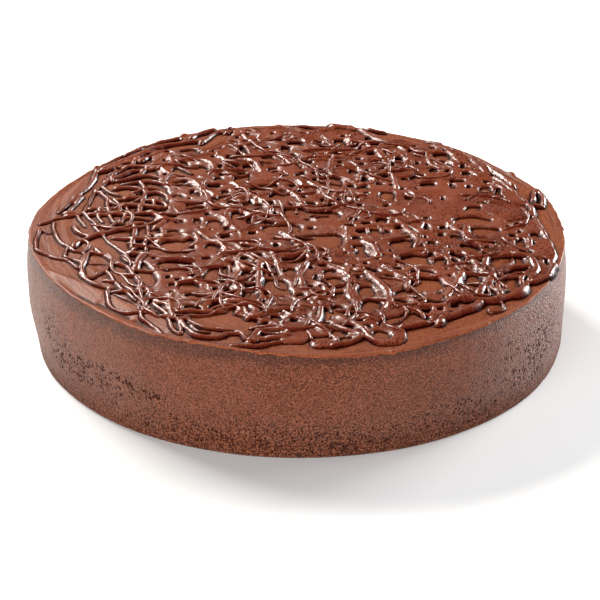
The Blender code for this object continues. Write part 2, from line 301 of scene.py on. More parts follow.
class Recipe:
    """A material that is put together from nodes. The scale of a pattern is the number of
    its cells in each metre."""

    def __init__(self, name):
        self.material = bpy.data.materials.new(name)
        self.material.use_nodes = True
        self.nodes = self.material.node_tree.nodes
        self.links = self.material.node_tree.links

    def feed(self, socket, value):
        """Wires an output to a socket, or sets the socket to a constant."""
        if isinstance(value, bpy.types.NodeSocket):
            self.links.new(value, socket)
        else:
            socket.default_value = value

    def feed_all(self, node, sockets):
        """Feeds the named sockets of a node; _ in a name stands for a space."""
        for key, value in sockets.items():
            self.feed(node.inputs[key.replace("_", " ")], value)

    def add(self, kind, settings=None, **sockets):
        """A new node, with its settings and its sockets fed."""
        node = self.nodes.new(kind)
        for key, value in (settings or {}).items():
            setattr(node, key, value)
        self.feed_all(node, sockets)
        return node

    def place(self, stretch=(1.0, 1.0, 1.0)):
        """The place in the piece, in metres, stretched."""
        source = self.add("ShaderNodeTexCoord").outputs["Object"]
        return self.add("ShaderNodeMapping", Vector=source, Scale=stretch).outputs["Vector"]

    def part(self, vector, axis):
        """One coordinate of a vector."""
        return self.add("ShaderNodeSeparateXYZ", Vector=vector).outputs[axis]

    def painted(self, name):
        """A value that was written into the piece's points."""
        return self.add("ShaderNodeAttribute", {"attribute_name": name}).outputs["Fac"]

    def noise(self, place, scale, detail=3.0, roughness=0.5):
        """Soft noise, from about 0.3 to 0.7."""
        return self.add(
            "ShaderNodeTexNoise", Vector=place, Scale=scale, Detail=detail, Roughness=roughness
        ).outputs["Fac"]

    def spots(self, place, scale):
        """Distance to the nearest of many scattered points, in cells."""
        return self.add("ShaderNodeTexVoronoi", Vector=place, Scale=scale).outputs["Distance"]

    def span(self, value, low, high, to_low=0.0, to_high=1.0):
        """Maps low..high to to_low..to_high, smoothly and clamped."""
        node = self.add("ShaderNodeMapRange", {"interpolation_type": "SMOOTHSTEP"}, Value=value)
        self.feed_all(node, {"From Min": low, "From Max": high})
        self.feed_all(node, {"To Min": to_low, "To Max": to_high})
        return node.outputs["Result"]

    def reckon(self, operation, first, second):
        """The sum, difference, product or such of two values."""
        node = self.add("ShaderNodeMath", {"operation": operation})
        self.feed(node.inputs[0], first)
        self.feed(node.inputs[1], second)
        return node.outputs["Value"]

    def plus(self, first, second):
        return self.reckon("ADD", first, second)

    def minus(self, first, second):
        return self.reckon("SUBTRACT", first, second)

    def times(self, first, second):
        return self.reckon("MULTIPLY", first, second)

    def larger(self, first, second):
        return self.reckon("MAXIMUM", first, second)

    def blend(self, factor, first, second):
        """Colour mix: first where factor is 0, second where it is 1."""
        # sockets 6, 7 and 2 are the node's sockets for colours
        node = self.add("ShaderNodeMix", {"data_type": "RGBA"})
        self.feed(node.inputs["Factor"], factor)
        self.feed(node.inputs[6], first)
        self.feed(node.inputs[7], second)
        return node.outputs[2]

    def bump(self, height, distance, strength, before=None):
        """Fine relief, over an earlier one if that is given."""
        node = self.add("ShaderNodeBump", Height=height, Distance=distance, Strength=strength)
        if before is not None:
            self.links.new(before, node.inputs["Normal"])
        return node.outputs["Normal"]

    def steepness(self, level, upright):
        """0 on surfaces that face up more than level, 1 on those steeper than upright."""
        normal = self.add("ShaderNodeTexCoord").outputs["Normal"]
        return self.span(self.part(normal, "Z"), level, upright)

    def finish(self, **sockets):
        """The material, with the sockets of its shader fed."""
        self.feed_all(self.nodes["Principled BSDF"], sockets)
        return self.material


MOUSSE_BROWN = (0.144, 0.033, 0.012, 1.0)
MOUSSE_LIGHT = (0.176, 0.045, 0.019, 1.0)
MOUSSE_SPECK = (0.222, 0.076, 0.039, 1.0)
# painted shade: the side is darker towards its foot
MOUSSE_FOOT_SHADE = (0.072, 0.010, 0.001, 1.0)
# painted shadow of the icing's rim over the smooth band under it
MOUSSE_BAND_SHADE = (0.034, 0.010, 0.007, 1.0)
MOUSSE_HOLLOW = (0.038, 0.006, 0.002, 1.0)
# painted shade inside the cut bubbles
MOUSSE_PIT_SHADE = (0.034, 0.005, 0.002, 1.0)
MOUSSE_SHEEN = (1.0, 0.80, 0.68, 1.0)

# scales of patterns, and spans: from which value of a pattern to which, and what that gives
PATCH_SCALE = 45.0
PATCH_SPAN = (0.35, 0.70)
MOUSSE_GRAIN_SCALE = 1500.0
SPECK_SPAN = (0.52, 0.56)
HOLLOW_SPAN = (0.49, 0.45)
SANDY_SPAN = (0.0, 0.5, 0.75, 1.0)    # the grain is stronger where the bubbles lie close
IN_BAND_SPAN = (0.0, 1.0, 1.0, 0.6)   # and weaker in the band
FOOT_SPAN = (0.020, 0.0)              # height up to which the side darkens to its foot
BAND_SPAN = (CAKE_HEIGHT - 0.0085, CAKE_HEIGHT - 0.0025, 0.0, 0.80)
RAGGED_SCALE = 90.0
RAGGED_SPAN = (0.3, 0.7, -0.0010, 0.0010)
BUBBLE_SCALE = 720.0
BUBBLE_STRETCH = (1.0, 1.0, 0.8)
BUBBLE_SPAN = (0.0, 0.9, 0.12, 0.48)  # size of the bubbles, in cells
WANDER_SCALE = 330.0
WANDER_SPAN = (0.38, 0.62, -0.20, 0.06)
BUBBLE_EDGE = 0.06
MOUSSE_SHINE = (0.0, 0.8, 0.40, 0.02)
DULL_FOOT = 0.7
GRAIN_RELIEF = 2.0                    # against the depth of the pits


def icing_band(mousse, place, height):
    """The smooth band under the icing, with a ragged lower edge, where painted shadow of the rim
    falls.
    """
    ragged = mousse.span(mousse.noise(place, RAGGED_SCALE, detail=2.0), *RAGGED_SPAN)
    return mousse.span(mousse.plus(height, ragged), *BAND_SPAN)


def cut_bubbles(mousse, place, bubbly):
    """1 inside the cut bubbles, which are larger where they lie close."""
    bubbles = mousse.spots(mousse.place(BUBBLE_STRETCH), BUBBLE_SCALE)
    reach = mousse.span(bubbly, *BUBBLE_SPAN)
    wander = mousse.span(mousse.noise(place, WANDER_SCALE, detail=2.0), *WANDER_SPAN)
    return mousse.span(mousse.minus(mousse.plus(reach, wander), bubbles), 0.0, BUBBLE_EDGE)


def mousse_finish():
    """Matte set mousse: soft patches, a fine grain, cut bubbles as pits darkened inside by
    painted shade, a smooth band under the icing that is greyer and darkened by painted shadow
    of the rim, and painted shade darkening the side towards the foot."""
    mousse = Recipe("mousse")
    place = mousse.place()
    height = mousse.part(place, "Z")
    bubbly = mousse.painted("bubbliness")
    patches = mousse.span(mousse.noise(place, PATCH_SCALE), *PATCH_SPAN)
    colour = mousse.blend(patches, MOUSSE_BROWN, MOUSSE_LIGHT)
    # painted shade: the side darkens towards its foot
    foot = mousse.span(height, *FOOT_SPAN)
    colour = mousse.blend(foot, colour, MOUSSE_FOOT_SHADE)
    band = icing_band(mousse, place, height)
    # painted shadow of the icing's rim, over the smooth band under it
    colour = mousse.blend(band, colour, MOUSSE_BAND_SHADE)
    grain = mousse.noise(place, MOUSSE_GRAIN_SCALE, detail=2.0, roughness=0.60)
    sandy = mousse.times(mousse.span(bubbly, *SANDY_SPAN), mousse.span(band, *IN_BAND_SPAN))
    specks = mousse.times(mousse.span(grain, *SPECK_SPAN), sandy)
    colour = mousse.blend(specks, colour, MOUSSE_SPECK)
    hollows = mousse.times(mousse.span(grain, *HOLLOW_SPAN), sandy)
    colour = mousse.blend(hollows, colour, MOUSSE_HOLLOW)
    pit = cut_bubbles(mousse, place, bubbly)
    # painted shade inside the cut bubbles
    colour = mousse.blend(pit, colour, MOUSSE_PIT_SHADE)
    dull = mousse.larger(pit, mousse.times(foot, DULL_FOOT))
    relief = mousse.minus(mousse.times(grain, GRAIN_RELIEF), pit)
    return mousse.finish(
        Base_Color=colour,
        Roughness=0.36,
        Specular_IOR_Level=mousse.span(dull, *MOUSSE_SHINE),
        Sheen_Weight=0.06,
        Sheen_Roughness=0.35,
        Sheen_Tint=MOUSSE_SHEEN,
        Normal=mousse.bump(relief, distance=0.00100, strength=1.0),
    )


drum = mousse_drum()
paint_bubbliness(drum)
drum.data.materials.append(mousse_finish())
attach(drum, "root")
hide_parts("mousse_base")

# ----------------------------------------------------------------------------------------
# The icing.
# A thin layer of chocolate icing, spread on the drum with a palette knife and drawn off
# at the rim. The knife left long shallow strokes along the rim, and a torn, lumpy edge.
# ----------------------------------------------------------------------------------------

ICING_LIP = 0.0003            # how far the icing stands out over the side
ICING_ROUNDING = 0.0003
ICING_STEPS = 860
# rings of points over its top: first radius, last radius, number
INNER_RINGS = (0.0020, 0.0865, 62)
OUTER_RINGS = (0.0875, 0.1105, 40)

STROKE_DEPTH = 0.00022
STROKE_WIDTH = 0.0035
STROKE_LENGTH = 0.060
STROKE_OCTAVES = 2
STROKE_START = 4.7            # where in the noise their pattern starts
STROKE_DRIFT = 0.010          # how far the strokes leave the circle, twice round it
STROKE_PHASE = 0.6
INNER_STROKES = 0.25          # share of their depth over the inside of the top
STROKES_FROM = 0.080          # radius from which they grow to their full depth
STROKES_OVER = 0.020
GROOVE_RADIUS = 0.1085        # the shallow groove that the knife's tip left round the rim
GROOVE_WIDTH = 0.0022
GROOVE_DEPTH = 0.00025
EDGE_FADE_FROM = 0.1095
EDGE_FADE_OVER = 0.0025

EDGE_OCTAVES = 3
EDGE_RAGGED = 0.00045
EDGE_RAGGED_SIZE = 0.006
EDGE_RAGGED_START = 9.1
EDGE_HANG = 0.0004
EDGE_HANG_SIZE = 0.004
EDGE_HANG_START = 2.2
# round the edge, from its top to its underside: how far in from the lip and how far down,
# then the shares that it takes in the raggedness, in the flakes' lift and in the hanging
EDGE_RINGS = (
    (0.0011, 0.0, 0.0, 0.5, 0.0),
    (0.0006, 0.00005, 0.4, 0.7, 0.0),
    (0.0002, 0.0001, 0.8, 0.4, 0.0),
    (0.0, ICING_ROUNDING, 1.0, 0.0, 0.2),
    (0.0, ICING_EDGE - 0.0001, 0.8, -0.3, 0.8),
    (0.0003, ICING_EDGE + 0.0001, 0.4, -0.3, 1.0),
    (0.0012, ICING_EDGE + 0.0001, 0.0, 0.0, 0.3),
)
# torn flakes of the edge: azimuth, length along the rim, how far it stands out
TORN_FLAKES = (
    (289, 0.0030, 0.0009), (118, 0.0040, 0.0012), (145, 0.0034, 0.0011), (3, 0.0028, 0.0008),
    (33, 0.0050, 0.0014), (262, 0.0020, 0.0005), (247, 0.0026, 0.0006), (75, 0.0030, 0.0007),
    (198, 0.0022, 0.0004), (312, 0.0024, 0.0005), (95, 0.0026, 0.0006),
)
FLAKE_FULLNESS = 0.7          # the lower, the blunter a flake

# where the knife dug in, anticlockwise: from x, y to x, y, width of the facet, its depth
KNIFE_FACETS = (
    (-0.1055, -0.0385, -0.0755, -0.0645, 0.0095, 0.0016),
    (-0.0780, -0.0610, -0.0610, -0.0775, 0.0085, 0.0017),
    (-0.0620, -0.0765, -0.0480, -0.0900, 0.0080, 0.0016),
    (-0.0350, -0.1000, 0.0050, -0.1060, 0.0050, 0.0008),
    (0.0600, -0.0850, 0.0900, -0.0600, 0.0050, 0.0008),
    (0.0960, 0.0420, 0.0800, 0.0700, 0.0060, 0.0010),
    (-0.0600, 0.0870, -0.0860, 0.0600, 0.0060, 0.0010),
)
FACET_BACK = 0.0014           # how far in its ridge falls back to the level icing
FACET_END = 0.0020            # how far out it runs off towards the rim
FACET_TIP = 0.15              # share of its length over which it runs off at each end


def knife_facet(x, y, facet):
    """One facet: a flat cut that slopes down from a ridge to the rim."""
    x1, y1, x2, y2, width, depth = facet
    length = math.hypot(x2 - x1, y2 - y1)
    east, north = (x2 - x1) / length, (y2 - y1) / length
    along = ((x - x1) * east + (y - y1) * north) / length
    inward = (x - x1) * -north + (y - y1) * east
    ends = smooth_ramp(along / FACET_TIP) * smooth_ramp((1.0 - along) / FACET_TIP)
    slope = np.clip(0.5 + inward / width, -0.5, 0.5)
    behind = 1.0 - smooth_ramp(inward / FACET_BACK)
    beyond = smooth_ramp((inward + width) / FACET_END + 1.0)
    return depth * slope * behind * beyond * ends


def knife_strokes(x, y):
    """Relief of the icing's top: long strokes along the rim, fainter ones inside."""
    radius = np.hypot(x, y)
    turn = np.arctan2(y, x)
    drift = STROKE_DRIFT * np.sin(turn * 2.0 + STROKE_PHASE)
    along = np.stack([
        np.cos(turn) * RIM_RADIUS / STROKE_LENGTH,
        np.sin(turn) * RIM_RADIUS / STROKE_LENGTH,
        (radius + drift) / STROKE_WIDTH,
    ], axis=-1)
    by_rim = smooth_ramp((radius - STROKES_FROM) / STROKES_OVER)
    share = INNER_STROKES + (1.0 - INNER_STROKES) * by_rim
    relief = noise_at(along, 1.0, STROKE_OCTAVES, STROKE_START) * STROKE_DEPTH * share
    for facet in KNIFE_FACETS:
        relief = relief + knife_facet(x, y, facet)
    fade = 1.0 - smooth_ramp((radius - EDGE_FADE_FROM) / EDGE_FADE_OVER)
    groove = GROOVE_DEPTH * np.exp(-((radius - GROOVE_RADIUS) / GROOVE_WIDTH) ** 2)
    return relief * fade - groove


def icing_height(x, y):
    """Height of the icing's top surface over the standing surface."""
    upward = swell_at(np.degrees(np.arctan2(y, x)))[1]
    lift = near_rim(np.hypot(x, y)) * upward
    return CAKE_HEIGHT + slope_at(x, y) + lift + knife_strokes(x, y)


def rim_flakes(azimuth):
    """How far the torn edge stands out at each azimuth."""
    out = np.zeros_like(azimuth)
    for middle, length, height in TORN_FLAKES:
        off = degrees_off(azimuth, middle) * math.pi / 180.0 * RIM_RADIUS
        arch = np.clip(1.0 - (2.0 * off / length) ** 2, 0.0, 1.0) ** FLAKE_FULLNESS
        out = np.maximum(out, height * arch)
    return out


def icing_layer():
    """The icing, from the middle of its top out to the rim and in again under its edge."""
    turn = np.linspace(0.0, 2.0 * math.pi, ICING_STEPS, endpoint=False)
    rings = []
    for radius in np.concatenate([np.linspace(*INNER_RINGS), np.linspace(*OUTER_RINGS)]):
        x, y, height = around(radius, turn, CAKE_HEIGHT).T
        rings.append(np.column_stack([x, y, height + knife_strokes(x, y)]))
    rim = around(RIM_RADIUS, turn, 0.0)
    ragged = EDGE_RAGGED * noise_at(rim, EDGE_RAGGED_SIZE, EDGE_OCTAVES, EDGE_RAGGED_START)
    hang = EDGE_HANG * noise_at(rim, EDGE_HANG_SIZE, EDGE_OCTAVES, EDGE_HANG_START)
    flakes = rim_flakes(np.degrees(turn))
    for inward, down, share, lift, hanging in EDGE_RINGS:
        radius = RIM_RADIUS + ICING_LIP - inward + share * (ragged + flakes)
        height = CAKE_HEIGHT - down + lift * flakes + hanging * hang
        rings.append(around(radius, turn, height))
    return closed_rings("icing_layer", uneven(np.array(rings)))


ICING_BROWN = (0.182, 0.045, 0.013, 1.0)
ICING_WARM = (0.222, 0.058, 0.017, 1.0)
ICING_THIN = (0.200, 0.060, 0.027, 1.0)
ICING_STREAK = (0.115, 0.024, 0.010, 1.0)
ICING_GRAIN = (0.110, 0.016, 0.004, 1.0)
# painted shade, for the crevices of the web and the icing close to it
CREVICE_SHADE = (0.012, 0.0008, 0.0003, 1.0)

WARM_SCALE = 30.0
WARM_SPAN = (0.35, 0.65)
THIN_SPAN = (0.1010, 0.1090)  # radii between which the icing thins out
THIN_SHARE = 0.45
STREAKS_ROUND = 5.0           # how often the streaks change round the cake
STREAKS_OUT = 620.0           # and outwards, for each metre
STREAK_SPAN = (0.50, 0.36, 0.0, 0.8)
ICING_GRAIN_SCALE = 1300.0
ICING_GRAIN_SPAN = (0.53, 0.43, 0.0, 0.75)
ICING_SHINE = (0.0, 0.6, 0.18, 0.02)


def knife_streaks(icing, flat, out):
    """A pattern drawn out round the cake, from a level place and how far out it is."""
    ahead = icing.add("ShaderNodeVectorMath", {"operation": "NORMALIZE"}, Vector=flat)
    stroke = icing.add(
        "ShaderNodeCombineXYZ",
        X=icing.times(icing.part(ahead.outputs["Vector"], "X"), STREAKS_ROUND),
        Y=icing.times(icing.part(ahead.outputs["Vector"], "Y"), STREAKS_ROUND),
        Z=icing.times(out, STREAKS_OUT),
    )
    return icing.noise(stroke.outputs["Vector"], 1.0, detail=3.0, roughness=0.6)


def icing_finish():
    """Satin icing, a little grainy, darkened by painted shade close to the web. Along the rim,
    where the knife drew it off thin, it is lighter, with darker streaks round the cake."""
    icing = Recipe("icing")
    place = icing.place()
    flat = icing.place((1.0, 1.0, 0.0))
    length = icing.add("ShaderNodeVectorMath", {"operation": "LENGTH"}, Vector=flat)
    out = length.outputs["Value"]
    warm = icing.span(icing.noise(place, WARM_SCALE), *WARM_SPAN)
    colour = icing.blend(warm, ICING_BROWN, ICING_WARM)
    thin = icing.span(out, *THIN_SPAN)
    colour = icing.blend(icing.times(thin, THIN_SHARE), colour, ICING_THIN)
    streaks = knife_streaks(icing, flat, out)
    dark_streak = icing.times(icing.span(streaks, *STREAK_SPAN), thin)
    colour = icing.blend(dark_streak, colour, ICING_STREAK)
    grain = icing.noise(place, ICING_GRAIN_SCALE, detail=1.0, roughness=0.6)
    colour = icing.blend(icing.span(grain, *ICING_GRAIN_SPAN), colour, ICING_GRAIN)
    # painted shade on the icing close to the web
    painted_shade = icing.painted("crevice")
    colour = icing.blend(painted_shade, colour, CREVICE_SHADE)
    strokes = icing.bump(icing.times(streaks, thin), distance=0.00050, strength=0.5)
    return icing.finish(
        Base_Color=colour,
        Roughness=0.46,
        Specular_IOR_Level=icing.span(painted_shade, *ICING_SHINE),
        Normal=icing.bump(grain, distance=0.00015, strength=0.8, before=strokes),
    )


icing = icing_layer()
icing.data.materials.append(icing_finish())
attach(icing, "root")
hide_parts("top_icing")

# ----------------------------------------------------------------------------------------
# The ganache web.
# Thick ganache, run off a spoon in loops and long strokes over the whole top. On the left
# the strands lie apart; from the middle to the right they have run together into one
# glossy sheet with holes.
# ----------------------------------------------------------------------------------------

# lengths in this section are millimetres, up to where its mesh is made
MM = 0.001
PITCH = 0.4                   # of the square grid on which the ganache is shaped
GRID_HALF = 113.6

grid_count = int(2 * GRID_HALF / PITCH) + 1
grid_middle = grid_count // 2
grid_line = (np.arange(grid_count) - grid_middle) * PITCH
grid_x, grid_y = np.meshgrid(grid_line, grid_line)
waves = np.fft.fftfreq(grid_count, PITCH) * 2.0 * math.pi
wave_square = waves[None, :] ** 2 + waves[:, None] ** 2


def blurred(field, size):
    """The field with a Gaussian blur of the given size."""
    spectrum = np.fft.fft2(field) * np.exp(-0.5 * wave_square * size ** 2)
    return np.fft.ifft2(spectrum).real


def soft_noise(seed, size):
    """Smooth random hills of the given size on the grid, of unit spread."""
    grains = np.random.default_rng(seed).standard_normal((grid_count, grid_count))
    field = blurred(grains, size)
    return field / field.std()


def cells(low, high):
    """The part of a row or column of the grid that lies from low to high."""
    first = max(0, int(low / PITCH) + grid_middle)
    last = min(grid_count, int(high / PITCH) + grid_middle + 2)
    return slice(first, last)


def window(x, y, reach):
    """The part of the grid within reach of a point, as two slices."""
    return cells(y - reach, y + reach), cells(x - reach, x + reach)


def cell_at(x, y):
    """Row and column of the grid nearest to a place, or to each of an array of them."""
    row = np.clip(np.round(y / PITCH).astype(int) + grid_middle, 0, grid_count - 1)
    column = np.clip(np.round(x / PITCH).astype(int) + grid_middle, 0, grid_count - 1)
    return row, column


def eased(points, spacing, closed=False):
    """A smooth curve through a row of points (Catmull-Rom), closely spaced."""
    knots = np.array(points, float)
    if closed:
        knots = np.vstack([knots[-1], knots, knots[0], knots[1]])
    else:
        knots = np.vstack([2 * knots[0] - knots[1], knots, 2 * knots[-1] - knots[-2]])
    pieces = []
    for index in range(1, len(knots) - 2):
        before, here, there, beyond = knots[index - 1:index + 3]
        steps = max(1, int(np.hypot(*(there - here)) / spacing))
        t = (np.arange(steps) / steps)[:, None]
        pieces.append(0.5 * (
            2.0 * here
            + (there - before) * t
            + (2.0 * before - 5.0 * here + 4.0 * there - beyond) * t ** 2
            + (3.0 * here - before - 3.0 * there + beyond) * t ** 3
        ))
    if not closed:
        pieces.append(knots[-2][None])
    return np.vstack(pieces)


# The lists give places as they look, read on a level plane this high over the
# icing; a point that is higher than that looks this many times as far behind it.
READ_HEIGHT = 1.0
SIGHT_SLOPE = 2.1


def nearer_by(height):
    """How much nearer the front a point lies than it was read, from its height."""
    return SIGHT_SLOPE * (height - READ_HEIGHT)


def kept_on(x, y, room):
    """A point, drawn in where it would come nearer the icing's edge than room."""
    azimuth = np.degrees(np.arctan2(y, x))
    limit = (RIM_RADIUS + swell_at(azimuth)[0]) / MM - room
    share = min(1.0, limit / max(math.hypot(x, y), 1.0))
    return x * share, y * share


# the outer edge of the sheet, anticlockwise from the right
SHEET_EDGE = (
    (103, 0), (101.5, 10), (100, 20), (98, 28), (95, 34), (92.5, 42), (89, 48), (85, 55),
    (82.5, 61), (80, 68), (76, 75), (70, 82), (63, 88), (55, 90), (47, 92), (39, 94), (34, 99),
    (28, 104), (24, 109), (16, 109.5), (12, 105), (4, 104), (-2, 106), (-10, 107.5), (-20, 106.5),
    (-28, 104), (-31, 97), (-33, 91), (-40, 84), (-48, 79), (-57, 79), (-64, 78), (-66, 70),
    (-63, 60), (-62, 50), (-60, 42), (-57, 34), (-56, 26), (-58, 16), (-62, 8), (-60, 0),
    (-60, -6), (-63, -12), (-60, -18), (-62, -26), (-66, -32), (-62, -40), (-59, -46), (-60, -54),
    (-63, -60), (-60, -68), (-57, -76), (-50, -80), (-40, -79), (-30, -80), (-20, -84),
    (-17, -88), (-19, -96), (-20, -103), (-24, -104.5), (-18, -105.5), (-12, -106), (-5, -105.5),
    (0, -105), (3, -102), (6, -107.5), (14, -107.5), (20, -104), (25, -99), (31, -104),
    (38, -104), (41.5, -98), (41, -90), (52, -85.5), (56, -88), (60, -81), (66, -76), (72, -70),
    (76, -67), (84, -63), (89, -61), (93, -55), (95, -49), (101, -45), (105, -39), (107, -30),
    (107.5, -22), (106, -12),
)

